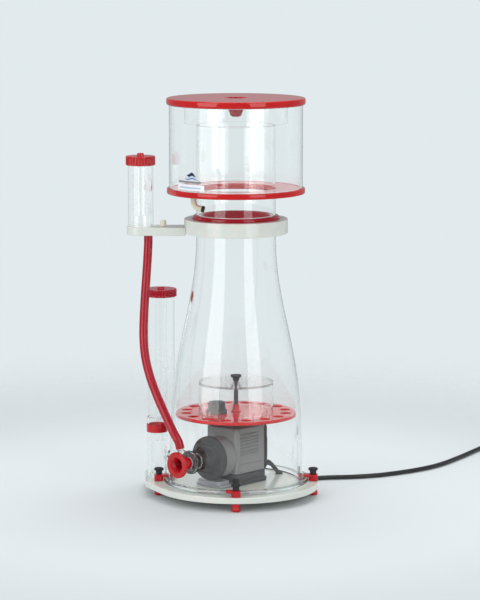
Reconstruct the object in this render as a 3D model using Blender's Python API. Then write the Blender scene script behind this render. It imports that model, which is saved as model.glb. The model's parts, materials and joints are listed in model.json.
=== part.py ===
"""Protein skimmer for a marine aquarium: a clear bottle-shaped column on a white base plate, a needle-wheel
pump inside it, a lift-off collection cup with a lid, an air silencer with its hose and venturi, and an
overflow standpipe. Metres, +Z up. The origin is the bottom centre of the model without its power cord.
All places below are in the column's frame: X and Y from the column's own axis, Z from the feet's underside.
"""

import math

import bmesh
import bpy
from mathutils import Matrix, Vector
from mathutils.geometry import convex_hull_2d

# Driving dimensions, in metres.
COLUMN_X = 0.0199            # the column's axis, from the middle of the whole object
GAP = 0.0003                 # what touching pieces keep between them
WALL = 0.0035                # acrylic wall of the column
TUBE_WALL = 0.003            # acrylic wall of the cup and the small tubes

BASE_RADIUS = 0.1235
PLATE_BOTTOM, PLATE_TOP = 0.0125, 0.0217
FOOT_CIRCLE = 0.116          # screws, clips and feet stand on this radius
SCREW_RADIUS = 0.0028
SCREW_ANGLES = {"right": 0.0, "back": 90.0, "left": 180.0, "front": 270.0}
CLIP_TURN = {"right": 0.0, "back": 0.0, "left": 0.0, "front": 90.0}   # the front clip stands open

BODY_RADIUS, NECK_RADIUS = 0.0997, 0.0590
BODY_BOTTOM, BODY_TOP = 0.0232, 0.4165
TAPER_TOP, TAPER_BOTTOM = 0.400, 0.045
TAPER_SHARE, TAPER_POWER = 0.5, 2.3
FLANGE_RADIUS, FLANGE_TOP = 0.1085, 0.0280
CLIP_BOSS = 0.0070           # under its bar a clip is this round, so it turns clear of the flange

PORT_RADIUS = 0.0135         # the opening for the pump's union

COLLAR_RADIUS, COLLAR_BOTTOM, COLLAR_TOP = 0.077, 0.3975, 0.4190
COLLAR_SEAT = 0.0646         # the recess that the cup's neck ring stands in
SILENCER = (-0.1413, 0.0)
BRACKET_BOTTOM, BRACKET_TOP, BRACKET_END = 0.395, 0.407, 0.021
SILENCER_RADIUS, SILENCER_TOP = 0.0187, 0.4980

CUP_RADIUS, CUP_FLANGE_RADIUS = 0.0990, 0.1025
FLOOR_BOTTOM, FLOOR_TOP = 0.4566, 0.4651
RISER_RADIUS, RISER_BOTTOM, RISER_TOP = 0.0588, 0.4247, 0.5580
LID_RADIUS, LID_BOTTOM, LID_TOP = 0.1030, 0.5880, 0.5980
SKIRT_RADIUS, SKIRT_BOTTOM = 0.0770, 0.5610

STANDPIPE = (-0.1140, 0.0700)
STANDPIPE_RADIUS, STANDPIPE_TOP = 0.0202, 0.2918
OUTLET = (-0.1195, 0.0320)
OUTLET_RADIUS, OUTLET_TOP = 0.0146, 0.1140
BRANCH_HEIGHT, BRANCH_RADIUS, BRANCH_BORE = 0.050, 0.0110, 0.0085
KNOB_RADIUS = 0.0240

PUMP_YAW = math.radians(228.0)     # the pump's intake points this way
PUMP_HEIGHT = 0.065                # its shaft's height
MOTOR_LENGTH, MOTOR_WIDTH = 0.066, 0.061
MOTOR_BOTTOM, MOTOR_TOP = 0.039, 0.108
VOLUTE_RADIUS, VOLUTE_FRONT = 0.0330, 0.063
CHAMBER_RADIUS, CHAMBER_BORE = 0.0305, 0.0280   # the wheel's chamber behind the volute's front ring
DISCHARGE = (0.029, -0.0122)       # the discharge pipe's place along the pump's axis and to its side
VENTURI_FRONT, VENTURI_RADIUS = 0.1314, 0.0194

DISC_RADIUS, DISC_BOTTOM, DISC_TOP = 0.0905, 0.1227, 0.1277
DISC_HOLES, DISC_HOLE_CIRCLE, DISC_HOLE_RADIUS = 16, 0.0755, 0.0082
DOME_RADIUS, DOME_TOP = 0.0560, 0.1737

HOSE_RADIUS = 0.0064
# The air hose, from under the silencer's bracket to the venturi.
HOSE_ROUTE = [(-0.1300, -0.0080, 0.3947), (-0.1302, -0.0085, 0.3800), (-0.1320, -0.0110, 0.3480),
              (-0.1345, -0.0160, 0.3120), (-0.1365, -0.0220, 0.2760), (-0.1370, -0.0290, 0.2460),
              (-0.1345, -0.0375, 0.2180), (-0.1275, -0.0480, 0.1900), (-0.1165, -0.0600, 0.1620),
              (-0.1045, -0.0725, 0.1370), (-0.0935, -0.0835, 0.1150), (-0.0845, -0.0895, 0.0990),
              (-0.0817, -0.0907, 0.0885)]

CORD_RADIUS = 0.0033
CORD_FLOOR = 0.0036          # height of the cord's middle where it lies
GLAND_SIDE, GLAND_HEIGHT, GLAND_TIP = 0.0155, 0.045, -0.0462
LEAD_BEND = 0.030            # the cord's radius where it turns down and out again
# The power cord on the table, from under the base plate to the coil.
CORD_TABLE = [(0.0861, 0.0725), (0.0975, 0.0842), (0.1105, 0.0950), (0.1265, 0.1035), (0.1454, 0.1085),
              (0.1687, 0.1112), (0.1921, 0.1160), (0.2237, 0.1268), (0.2559, 0.1456), (0.2886, 0.1700),
              (0.3229, 0.2069), (0.3594, 0.2661), (0.3960, 0.3330), (0.4200, 0.3700), (0.4345, 0.3920),
              (0.4416, 0.4058)]
COIL = (0.4850, 0.4250)
COIL_OUTER, COIL_INNER = 0.0431, 0.0290
PLUG_TOP, PIN_RADIUS, PIN_SIDE, PIN_HEIGHT, PIN_TIP = 0.0125, 0.0020, 0.0095, 0.0062, 0.0530
# The power cord from the coil to its plug.
TAIL = [(0.5259, 0.4012, 0.0074), (0.5262, 0.3900, 0.0046), (0.5258, 0.3770, 0.0036), (0.5246, 0.3630, 0.0036),
        (0.5222, 0.3490, 0.0036), (0.5180, 0.3350, 0.0036), (0.5120, 0.3210, 0.0036)]


def material(name, color, roughness, metallic=0.0, alpha=1.0):
    """A plain Principled material, made once for each name."""
    found = bpy.data.materials.get(name)
    if found:
        return found
    made = bpy.data.materials.new(name)
    made.use_nodes = True
    shader = made.node_tree.nodes["Principled BSDF"]
    shader.inputs["Base Color"].default_value = (*color, 1.0)
    shader.inputs["Roughness"].default_value = roughness
    shader.inputs["Metallic"].default_value = metallic
    shader.inputs["Alpha"].default_value = alpha
    return made


def clear():
    return material("clear_acrylic", (0.93, 0.96, 0.96), 0.05, alpha=0.25)


def red():
    return material("red_acrylic", (0.72, 0.02, 0.03), 0.15)


def white():
    return material("white_acrylic", (0.86, 0.86, 0.82), 0.25)


def black():
    return material("black_plastic", (0.02, 0.02, 0.022), 0.45)


def grey():
    return material("pump_grey", (0.20, 0.20, 0.195), 0.5)


def on_column(obj):
    """Links an object and parents it to the empty on the column's axis."""
    bpy.context.scene.collection.objects.link(obj)
    obj.parent = bpy.data.objects["column"]
    return obj


def finish(name, bm, mat, at=(0, 0, 0), turn=0.0):
    """Turns a bmesh into a named object, with smooth round sides."""
    bmesh.ops.remove_doubles(bm, verts=bm.verts, dist=1e-6)
    bmesh.ops.recalc_face_normals(bm, faces=bm.faces)
    mesh = bpy.data.meshes.new(name)
    bm.to_mesh(mesh)
    bm.free()
    mesh.materials.append(mat)
    mesh.shade_smooth()
    mesh.set_sharp_from_angle(angle=math.radians(35))
    obj = on_column(bpy.data.objects.new(name, mesh))
    obj.location = at
    obj.rotation_euler = (0, 0, turn)
    return obj


def turned(name, profile, mat, segments=24, lying=False, **place):
    """A profile of (radius, height) corners, spun once round +Z, or round +X when it is lying."""
    bm = bmesh.new()
    verts = [bm.verts.new((r, 0, z)) for r, z in profile]
    edges = [bm.edges.new((a, b)) for a, b in zip(verts, verts[1:] + verts[:1])]
    bmesh.ops.spin(bm, geom=verts + edges, cent=(0, 0, 0), axis=(0, 0, 1),
                   angle=2 * math.pi, steps=segments, use_merge=True)
    bmesh.ops.remove_doubles(bm, verts=bm.verts, dist=1e-6)
    on_axis = [e for e in bm.edges if not e.link_faces]
    bmesh.ops.delete(bm, geom=on_axis, context="EDGES")
    if lying:
        bm.transform(Matrix.Rotation(math.radians(90), 4, "Y"))
    return finish(name, bm, mat, **place)


def tube(name, outer, inner, low, high, mat, **rest):
    """A plain ring or tube."""
    return turned(name, [(outer, low), (outer, high), (inner, high), (inner, low)], mat, **rest)


def rod(name, radius, low, high, mat, **rest):
    """A plain solid cylinder."""
    return turned(name, [(0, low), (radius, low), (radius, high), (0, high)], mat, **rest)


def prism(name, outline, low, high, mat, **place):
    """A flat outline of (x, y) corners, extruded from low to high."""
    bm = bmesh.new()
    face = bm.faces.new([bm.verts.new((x, y, low)) for x, y in outline])
    raised = bmesh.ops.extrude_face_region(bm, geom=[face])
    top = [v for v in raised["geom"] if isinstance(v, bmesh.types.BMVert)]
    bmesh.ops.translate(bm, verts=top, vec=(0, 0, high - low))
    return finish(name, bm, mat, **place)


def rounded(x0, x1, y0, y1, radius, steps=4):
    """The outline of a rectangle with round corners."""
    corners = [(x1 - radius, y1 - radius, 0), (x0 + radius, y1 - radius, 90),
               (x0 + radius, y0 + radius, 180), (x1 - radius, y0 + radius, 270)]
    points = []
    for cx, cy, start in corners:
        for step in range(steps + 1):
            angle = math.radians(start + 90 * step / steps)
            points.append((cx + radius * math.cos(angle), cy + radius * math.sin(angle)))
    return points


def as_tool(obj):
    """Marks an object as a cutter or a filler, which isn't part of the skimmer."""
    obj.hide_render = True
    obj.display_type = "WIRE"
    return obj


def boolean(obj, tool, operation="DIFFERENCE"):
    """Adds a live Boolean with a hidden tool object."""
    modifier = obj.modifiers.new(tool.name, "BOOLEAN")
    modifier.operation = operation
    modifier.object = tool
    modifier.solver = "EXACT"


def smooth_route(points, spacing):
    """Points at even spacing on one smooth curve (Catmull-Rom) through the given ones."""
    knots = [Vector(p) for p in points]
    knots = [2 * knots[0] - knots[1]] + knots + [2 * knots[-1] - knots[-2]]
    fine = []
    for a, b, c, d in zip(knots, knots[1:], knots[2:], knots[3:]):
        for step in range(20):
            t = step / 20
            fine.append(0.5 * (2 * b + (c - a) * t + (2 * a - 5 * b + 4 * c - d) * t * t
                               + (3 * b - a - 3 * c + d) * t ** 3))
    fine.append(knots[-2])
    total = sum((b - a).length for a, b in zip(fine, fine[1:]))
    count = max(2, round(total / spacing))
    picked, travelled, wanted = [fine[0]], 0.0, total / count
    for a, b in zip(fine, fine[1:]):
        travelled += (b - a).length
        if travelled >= wanted and len(picked) < count:
            picked.append(b)
            wanted += total / count
    return picked + [fine[-1]]


def piped(name, points, radius, spacing, mat, resolution=2):
    """A round solid along a smooth route: a curve with a bevel and filled ends."""
    route = smooth_route(points, spacing)
    data = bpy.data.curves.new(name, "CURVE")
    data.dimensions = "3D"
    spline = data.splines.new("POLY")
    spline.points.add(len(route) - 1)
    for slot, point in zip(spline.points, route):
        slot.co = (*point, 1)
    data.bevel_depth = radius
    data.bevel_resolution = resolution
    data.use_fill_caps = True
    data.materials.append(mat)
    return on_column(bpy.data.objects.new(name, data))


def meshed(obj):
    """The same curve as a mesh object with its caps welded on, which a Boolean needs."""
    mesh = bpy.data.meshes.new_from_object(obj)
    bm = bmesh.new()
    bm.from_mesh(mesh)
    bmesh.ops.remove_doubles(bm, verts=bm.verts, dist=1e-6)
    bmesh.ops.recalc_face_normals(bm, faces=bm.faces)
    bm.to_mesh(mesh)
    bm.free()
    made = on_column(bpy.data.objects.new(obj.name + "_mesh", mesh))
    bpy.data.objects.remove(obj)
    return made


def along_pump(forward, side=0.0):
    """A place in the column's frame, given along the pump's axis and to its side."""
    c, s = math.cos(PUMP_YAW), math.sin(PUMP_YAW)
    return forward * c - side * s, forward * s + side * c


def body_radius(z):
    """Outer radius of the column: a soft bottle shoulder between the wide foot and the neck."""
    share = max(0.0, (TAPER_TOP - z) / (TAPER_TOP - TAPER_BOTTOM))
    return NECK_RADIUS + (BODY_RADIUS - NECK_RADIUS) * (1 - math.exp(-(share / TAPER_SHARE) ** TAPER_POWER))


def plate_outline():
    """A disc that reaches out to the left in one smooth lobe, under the standpipe and the outlet."""
    points = []
    for cx, cy, radius, steps in ((0, 0, BASE_RADIUS, 72), (-0.1165, 0.0, 0.020, 24), (-0.1165, 0.0705, 0.023, 24)):
        for step in range(steps):
            angle = 2 * math.pi * step / steps
            points.append((cx + radius * math.cos(angle), cy + radius * math.sin(angle)))
    return [points[i] for i in convex_hull_2d(points)]


def make_base():
    """The base plate with its feet, clips, thumb screws, seal and the cord's tunnel."""
    plate = prism("base_plate", plate_outline(), PLATE_BOTTOM, PLATE_TOP, white())
    for side, angle in SCREW_ANGLES.items():
        radians = math.radians(angle)
        at = (FOOT_CIRCLE * math.cos(radians), FOOT_CIRCLE * math.sin(radians), 0)
        hole = as_tool(rod("screw_hole_" + side, SCREW_RADIUS + GAP, 0, 0.05, black(), segments=12, at=at))
        boolean(plate, hole)
        make_clip(side, at, radians, hole)
        turned("thumb_screw_" + side,
               [(0, 0.0060), (SCREW_RADIUS, 0.0060), (SCREW_RADIUS, 0.0320), (0.0048, 0.0320), (0.0048, 0.0372),
                (0.0072, 0.0384), (0.0072, 0.0407), (0.0062, 0.0415), (0, 0.0415)], black(), segments=16, at=at)
        turned("base_foot_" + side,
               [(0, 0), (0.0060, 0), (0.0070, 0.0010), (0.0070, PLATE_BOTTOM - GAP),
                (SCREW_RADIUS + GAP, PLATE_BOTTOM - GAP), (SCREW_RADIUS + GAP, 0.0050), (0, 0.0050)],
               red(), segments=16, at=at)
    boolean(plate, as_tool(meshed(piped("cord_tunnel", lead_route(), CORD_RADIUS + 0.0010, 0.009, black()))))
    tube("base_seal", 0.1035, 0.0965, PLATE_TOP + 0.0002, BODY_BOTTOM - GAP, black(), segments=48)


def make_clip(side, at, radians, hole):
    """A turn clip: a small bar on its screw, stepped so that its inner end swings over the column's flange."""
    outline = rounded(-0.0150, 0.0070, -0.0070, 0.0070, 0.0035, steps=3)
    turn = radians + math.radians(CLIP_TURN[side])
    clip = prism("clip_" + side, outline, PLATE_TOP + 0.0002, 0.0317, red(), at=at, turn=turn)
    boss = [math.radians(90 + 15 * step) for step in range(13)]
    under_bar = [(CLIP_BOSS * math.cos(a), CLIP_BOSS * math.sin(a)) for a in boss]
    under_bar += [(0, -0.012), (-0.030, -0.012), (-0.030, 0.012), (0, 0.012)]
    step = as_tool(prism("clip_step_" + side, under_bar, 0.015, FLANGE_TOP + GAP, black(), at=at, turn=turn))
    boolean(clip, step)
    boolean(clip, hole)


def lead_route():
    """The power cord's first stretch: out of the gland, down at 45 degrees through the base plate, to the table."""
    drop = LEAD_BEND * (1 - math.cos(math.radians(45)))
    reach = LEAD_BEND * math.sin(math.radians(45))
    straight = GLAND_HEIGHT - CORD_FLOOR - 2 * drop
    run = 2 * reach + straight
    points = []
    for step in range(9):
        ahead = run * step / 8
        if ahead < reach:
            z = GLAND_HEIGHT - (LEAD_BEND - math.sqrt(LEAD_BEND ** 2 - ahead ** 2))
        elif ahead < reach + straight:
            z = GLAND_HEIGHT - drop - (ahead - reach)
        else:
            z = CORD_FLOOR + LEAD_BEND - math.sqrt(LEAD_BEND ** 2 - (run - ahead) ** 2)
        points.append((*along_pump(GLAND_TIP - ahead, GLAND_SIDE), z))
    return points


def make_body():
    """The column with its foot flange and neck collar; gives the shell, which the standpipe's branch opens."""
    heights = [BODY_BOTTOM, 0.06, 0.09, 0.12, 0.145, 0.17, 0.19, 0.21, 0.23, 0.25, 0.27, 0.29, 0.315, 0.345, 0.385,
               BODY_TOP]
    outside = [(body_radius(z), z) for z in heights]
    inside = [(r - WALL, z) for r, z in reversed(outside)]
    shell = turned("body_shell", outside + inside, clear(), segments=48)
    tube("body_flange", FLANGE_RADIUS, body_radius(BODY_BOTTOM) + GAP, BODY_BOTTOM, FLANGE_TOP, clear(), segments=48)
    boolean(shell, as_tool(rod("intake_port", PORT_RADIUS, 0.07, 0.13, black(), lying=True, at=(0, 0, PUMP_HEIGHT),
                               turn=PUMP_YAW, segments=20)))
    turned("body_collar",
           [(COLLAR_RADIUS, COLLAR_BOTTOM), (COLLAR_RADIUS, COLLAR_TOP), (COLLAR_SEAT, COLLAR_TOP),
            (COLLAR_SEAT, BODY_TOP + GAP), (NECK_RADIUS + GAP, BODY_TOP + GAP), (NECK_RADIUS + GAP, COLLAR_BOTTOM)],
           white(), segments=48)
    return shell


def make_standpipe(shell):
    """The overflow: standpipe, branch from the column, turning gate, and the outlet with its ring."""
    x, y = STANDPIPE
    at = (x, y, 0)
    pipe = tube("standpipe", STANDPIPE_RADIUS, STANDPIPE_RADIUS - TUBE_WALL, PLATE_TOP + GAP, STANDPIPE_TOP,
                clear(), segments=28, at=at)
    bearing = math.atan2(y, x)
    distance = math.hypot(x, y)
    branch_at = (0, 0, BRANCH_HEIGHT)
    tube("outlet_branch", BRANCH_RADIUS, BRANCH_BORE, BODY_RADIUS + 0.0008, distance - STANDPIPE_RADIUS - 0.0002,
         clear(), segments=20, lying=True, at=branch_at, turn=bearing)
    bore = as_tool(rod("branch_bore", BRANCH_BORE, 0.080, distance, black(), segments=16, lying=True, at=branch_at,
                       turn=bearing))
    boolean(shell, bore)
    boolean(pipe, bore)
    tube("gate_pipe", 0.0085, 0.0065, 0.070, STANDPIPE_TOP, clear(), segments=20, at=at)
    turned("gate_knob",
           [(0, STANDPIPE_TOP + 0.0006), (KNOB_RADIUS - 0.0005, STANDPIPE_TOP + 0.0006), (KNOB_RADIUS, 0.2940),
            (KNOB_RADIUS, 0.3015), (KNOB_RADIUS - 0.0018, 0.3040), (0.0065, 0.3040), (0.0058, 0.3065), (0, 0.3065)],
           red(), segments=28, at=at)
    outlet_at = (*OUTLET, 0)
    tube("outlet_tube", OUTLET_RADIUS, OUTLET_RADIUS - 0.0022, PLATE_TOP + GAP, OUTLET_TOP, clear(), segments=24,
         at=outlet_at)
    tube("outlet_ring", OUTLET_RADIUS + 0.0012, OUTLET_RADIUS + GAP, 0.0910, 0.1030, red(), segments=24,
         at=outlet_at)


def make_silencer():
    """The silencer on its bracket, and the air hose."""
    x, y = SILENCER
    at = (x, y, 0)
    left = [(x + BRACKET_END * math.cos(a), y + BRACKET_END * math.sin(a))
            for a in [math.radians(90 + 15 * step) for step in range(13)]]
    edge = COLLAR_RADIUS + GAP
    sweep = math.asin(BRACKET_END / edge)
    right = [(-edge * math.cos(sweep * t), -edge * math.sin(sweep * t)) for t in (1, 0.5, 0, -0.5, -1)]
    bracket = prism("silencer_bracket", left + right, BRACKET_BOTTOM, BRACKET_TOP, white())
    block = as_tool(prism("bracket_block", rounded(-0.0880, -0.0790, -0.0120, 0.0120, 0.0010, steps=1),
                          BRACKET_BOTTOM + 0.001, COLLAR_TOP, white()))
    boolean(bracket, block, "UNION")
    hose_x, hose_y = HOSE_ROUTE[0][:2]
    boolean(bracket, as_tool(rod("air_bore", 0.0030, 0.38, 0.42, black(), segments=12, at=(hose_x, hose_y, 0))))
    turned("bracket_screw",
           [(0, BRACKET_TOP + GAP), (0.0044, BRACKET_TOP + GAP), (0.0044, 0.4150), (0.0036, 0.4165), (0, 0.4165)],
           white(), segments=16, at=(-0.1076, -0.004, 0))
    tube("silencer_tube", SILENCER_RADIUS, SILENCER_RADIUS - 0.0027, BRACKET_TOP + GAP, SILENCER_TOP, clear(),
         segments=28, at=at)
    tube("silencer_inlet_pipe", 0.0080, 0.0062, 0.4225, SILENCER_TOP, clear(), segments=20, at=at)
    turned("silencer_cap",
           [(0, SILENCER_TOP + GAP), (0.0215, SILENCER_TOP + GAP), (0.0220, 0.4992), (0.0220, 0.5105),
            (0.0208, 0.5118), (0.0058, 0.5118), (0.0054, 0.5160), (0, 0.5160)], red(), segments=28, at=at)
    piped("air_hose", HOSE_ROUTE, HOSE_RADIUS, 0.014, red(), resolution=3)


def make_cup():
    """The lift-off cup: wall, floor, riser, neck ring with its seal, and the drain."""
    tube("cup_wall", CUP_RADIUS, CUP_RADIUS - TUBE_WALL, FLOOR_TOP + GAP, LID_BOTTOM - GAP, clear(), segments=48)
    tube("cup_floor", CUP_FLANGE_RADIUS, RISER_RADIUS + GAP, FLOOR_BOTTOM, FLOOR_TOP, red(), segments=48)
    tube("neck_tube", RISER_RADIUS, RISER_RADIUS - TUBE_WALL, RISER_BOTTOM, RISER_TOP, clear(), segments=48)
    turned("neck_flange",
           [(0.0640, 0.4171), (0.0640, 0.4244), (0.0510, 0.4244), (0.0510, 0.3960), (0.0548, 0.3960),
            (0.0548, 0.4025), (0.0532, 0.4030), (0.0532, 0.4052), (0.0548, 0.4057), (0.0548, 0.4171)],
           red(), segments=48)
    tube("neck_seal", 0.0551, 0.0535, 0.4033, 0.4049, black(), segments=48)
    elbow = [(-0.0620, -0.0520, 0.4562), (-0.0620, -0.0520, 0.4500), (-0.0605, -0.0525, 0.4440),
             (-0.0560, -0.0535, 0.4405), (-0.0505, -0.0540, 0.4390)]
    piped("drain_elbow", elbow, 0.0042, 0.004, clear(), resolution=2)


def make_lid():
    """The lid with its skirt and finger cup."""
    turned("lid_plate",
           [(0.0153, LID_BOTTOM), (LID_RADIUS - 0.003, LID_BOTTOM), (LID_RADIUS - 0.0008, LID_BOTTOM + 0.0015),
            (LID_RADIUS, LID_BOTTOM + 0.004), (LID_RADIUS, LID_TOP - 0.004), (LID_RADIUS - 0.0008, LID_TOP - 0.0015),
            (LID_RADIUS - 0.003, LID_TOP), (0.0153, LID_TOP)], red(), segments=56)
    tube("lid_skirt", SKIRT_RADIUS, SKIRT_RADIUS - 0.0025, SKIRT_BOTTOM, LID_BOTTOM - GAP, clear(), segments=40)
    turned("lid_grip_cup",
           [(0.0150, LID_TOP - 0.0002), (0.0150, LID_BOTTOM), (0.0078, 0.5712), (0.0062, 0.5700), (0, 0.5700),
            (0, 0.5725), (0.0060, 0.5728), (0.0128, LID_BOTTOM), (0.0128, LID_TOP - 0.0002)], red(), segments=24)


def make_pump():
    """The pump with its foot, union and venturi; gives the discharge pipe's place."""
    shaft_at = (0, 0, PUMP_HEIGHT)
    lying = {"lying": True, "at": shaft_at, "turn": PUMP_YAW}
    half_length, half_width = MOTOR_LENGTH / 2, MOTOR_WIDTH / 2
    housing = prism("pump_housing", rounded(-half_length, half_length, -half_width, half_width, 0.005, steps=3),
                    MOTOR_BOTTOM, MOTOR_TOP, grey(), turn=PUMP_YAW)
    boolean(housing, as_tool(rod("rotor_bore", 0.0135, -0.0290, 0.040, black(), segments=20, **lying)))
    foot = prism("pump_foot", rounded(-0.036, 0.0328, -0.033, 0.033, 0.005, steps=3), PLATE_TOP + GAP,
                 MOTOR_BOTTOM - GAP, black(), turn=PUMP_YAW)
    toe = as_tool(prism("volute_stand", rounded(0.0300, 0.0610, -0.026, 0.026, 0.003, steps=2), PLATE_TOP + 0.0006,
                        0.0312, black(), turn=PUMP_YAW))
    boolean(foot, toe, "UNION")
    face = half_length + GAP
    turned("pump_volute",
           [(CHAMBER_BORE, face), (CHAMBER_RADIUS, face), (CHAMBER_RADIUS, 0.0540), (VOLUTE_RADIUS, 0.0550),
            (VOLUTE_RADIUS, VOLUTE_FRONT - 0.003), (VOLUTE_RADIUS - 0.003, VOLUTE_FRONT),
            (0.0165, VOLUTE_FRONT + 0.002), (0.0150, 0.0720), (0.0130, 0.0860), (0.0095, 0.0860), (0.0095, 0.0585),
            (CHAMBER_BORE, 0.0570)], black(), segments=36, **lying)
    turned("wall_union",
           [(0.0090, 0.0864), (0.0125, 0.0864), (0.0125, 0.1008), (0.0165, 0.1008), (0.0165, 0.1055),
            (0.0090, 0.1055)], clear(), segments=24, **lying)
    turned("venturi",
           [(0.0068, 0.1058), (0.0092, 0.1058), (0.0092, 0.1260), (0.0130, 0.1265), (VENTURI_RADIUS, 0.1268),
            (VENTURI_RADIUS, VENTURI_FRONT - 0.0010), (VENTURI_RADIUS - 0.0010, VENTURI_FRONT),
            (0.0110, VENTURI_FRONT), (0.0095, 0.1290), (0.0068, 0.1240)], red(), segments=28, **lying)
    hose_x, hose_y, hose_z = HOSE_ROUTE[-1]
    barb = rod("venturi_barb", 0.0036, PUMP_HEIGHT + 0.0095, hose_z - 0.0024, clear(), segments=16,
               at=(hose_x, hose_y, 0))
    boolean(barb, as_tool(rod("barb_seat", 0.0096, 0.1000, 0.1270, black(), segments=28, **lying)))
    discharge = (*along_pump(*DISCHARGE), 0)
    tube("discharge_pipe", 0.0100, 0.0078, MOTOR_TOP + GAP, 0.1440, black(), segments=20, at=discharge)
    turned("union_nut",
           [(0.0103, DISC_TOP + GAP), (0.0152, DISC_TOP + GAP), (0.0152, 0.1335), (0.0125, 0.1345), (0.0122, 0.1450),
            (0.0103, 0.1450)], grey(), segments=20, at=discharge)
    make_rotor(lying)
    gland_at = (*along_pump(-half_length - GAP, GLAND_SIDE), GLAND_HEIGHT)
    rod("cable_gland", 0.0058, -0.0120, 0.0, black(), segments=16, lying=True, at=gland_at, turn=PUMP_YAW)
    return discharge


def make_rotor(lying):
    """The magnet rotor and its bladed wheel turn together on a fixed ceramic shaft between two rubber bushes."""
    tube("rotor_magnet", 0.0115, 0.0022, -0.0190, 0.0340, black(), segments=20, **lying)
    blades, inner, outer = 8, 0.0090, 0.0240
    outline = []
    for blade in range(blades):
        for radius, share in ((inner, 0.12), (outer, 0.30), (outer, 0.52), (inner, 0.62)):
            angle = 2 * math.pi * (blade + share) / blades
            outline.append((radius * math.cos(angle), radius * math.sin(angle)))
    wheel = prism("impeller", outline, 0.0345, 0.0520, red(), turn=0)
    wheel.data.transform(Matrix.Rotation(math.radians(90), 4, "Y"))
    wheel.location = lying["at"]
    wheel.rotation_euler = (0, 0, lying["turn"])
    boolean(wheel, as_tool(rod("wheel_bore", 0.0022, 0.030, 0.056, black(), segments=12, **lying)))
    rod("rotor_shaft", 0.0019, -0.0248, 0.0575, white(), segments=12, **lying)
    tube("shaft_bush_rear", 0.0070, 0.0021, -0.0280, -0.0200, black(), segments=16, **lying)
    tube("shaft_bush_front", 0.0092, 0.0021, 0.0545, 0.0575, black(), segments=16, **lying)


def make_bubble_plate(discharge):
    """The bubble plate on the pump's nut, and the dome on it with its rod and knob."""
    plate = rod("bubble_plate", DISC_RADIUS, DISC_BOTTOM, DISC_TOP, red(), segments=48)
    for hole in range(DISC_HOLES):
        angle = 2 * math.pi * (hole + 0.5) / DISC_HOLES
        at = (DISC_HOLE_CIRCLE * math.cos(angle), DISC_HOLE_CIRCLE * math.sin(angle), 0)
        boolean(plate, as_tool(rod(f"disc_hole_{hole}", DISC_HOLE_RADIUS, 0.11, 0.14, black(), segments=12, at=at)))
    boolean(plate, as_tool(rod("pipe_hole", 0.0103, 0.11, 0.14, black(), segments=20, at=discharge)))
    boolean(plate, as_tool(rod("rod_hole", 0.0037, 0.11, 0.14, black(), segments=12)))
    turned("bubble_dome",
           [(DOME_RADIUS, DISC_TOP + GAP), (DOME_RADIUS, DOME_TOP), (0.0037, DOME_TOP), (0.0037, DOME_TOP - 0.003),
            (DOME_RADIUS - 0.0025, DOME_TOP - 0.003), (DOME_RADIUS - 0.0025, DISC_TOP + GAP)], clear(), segments=40)
    rod("dome_rod", 0.0033, 0.1130, 0.1745, black(), segments=12)
    turned("dome_knob",
           [(0, 0.1748), (0.0050, 0.1748), (0.0055, 0.1795), (0.0080, 0.1805), (0.0080, 0.1828), (0.0070, 0.1836),
            (0, 0.1836)], black(), segments=16)


def make_cord():
    """The cable in three nodes, the middle one a plain ring for its coil, and the plug."""
    table = [(x, y, CORD_FLOOR) for x, y in CORD_TABLE]
    piped("power_cord", lead_route()[:-1] + table, CORD_RADIUS, 0.0115, black())
    tube("cord_coil", COIL_OUTER, COIL_INNER, GAP, 0.0140, black(), segments=36, at=(*COIL, 0))
    piped("cord_tail", TAIL, CORD_RADIUS, 0.008, black())
    end = Vector(TAIL[-1])
    heading = math.atan2(TAIL[-1][1] - TAIL[-2][1], TAIL[-1][0] - TAIL[-2][0])
    outline = [(0.0004, -0.0045), (0.012, -0.0050), (0.022, -0.0125), (0.034, -0.0125), (0.034, 0.0125),
               (0.022, 0.0125), (0.012, 0.0050), (0.0004, 0.0045)]
    plug = prism("power_plug", outline, 0.0, PLUG_TOP, black(), at=(end.x, end.y, 0), turn=heading)
    for side in (-PIN_SIDE, PIN_SIDE):
        at = (end.x - side * math.sin(heading), end.y + side * math.cos(heading), PIN_HEIGHT)
        pin = as_tool(rod("plug_pin", PIN_RADIUS, 0.030, PIN_TIP, white(), segments=10, lying=True, at=at,
                          turn=heading))
        boolean(plug, pin, "UNION")


def main():
    """Clears the file, sets the column's empty and makes every piece."""
    for obj in list(bpy.data.objects):
        bpy.data.objects.remove(obj)
    column = bpy.data.objects.new("column", None)
    bpy.context.scene.collection.objects.link(column)
    column.location = (COLUMN_X, 0, 0)
    make_base()
    make_standpipe(make_body())
    make_silencer()
    make_cup()
    make_lid()
    make_bubble_plate(make_pump())
    make_cord()


main()
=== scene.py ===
"""Studio model of an aquarium protein skimmer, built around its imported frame.

The frame gives every node's place and size. Each sub-assembly below is a class that reads the boxes of its
nodes, works out finer surfaces from them and dresses them. Metres, +Z up. The column stands on x = COLUMN_X.
"""

from __future__ import annotations

import json
import logging
import math
from dataclasses import dataclass
from enum import Enum
from typing import Sequence

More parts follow.
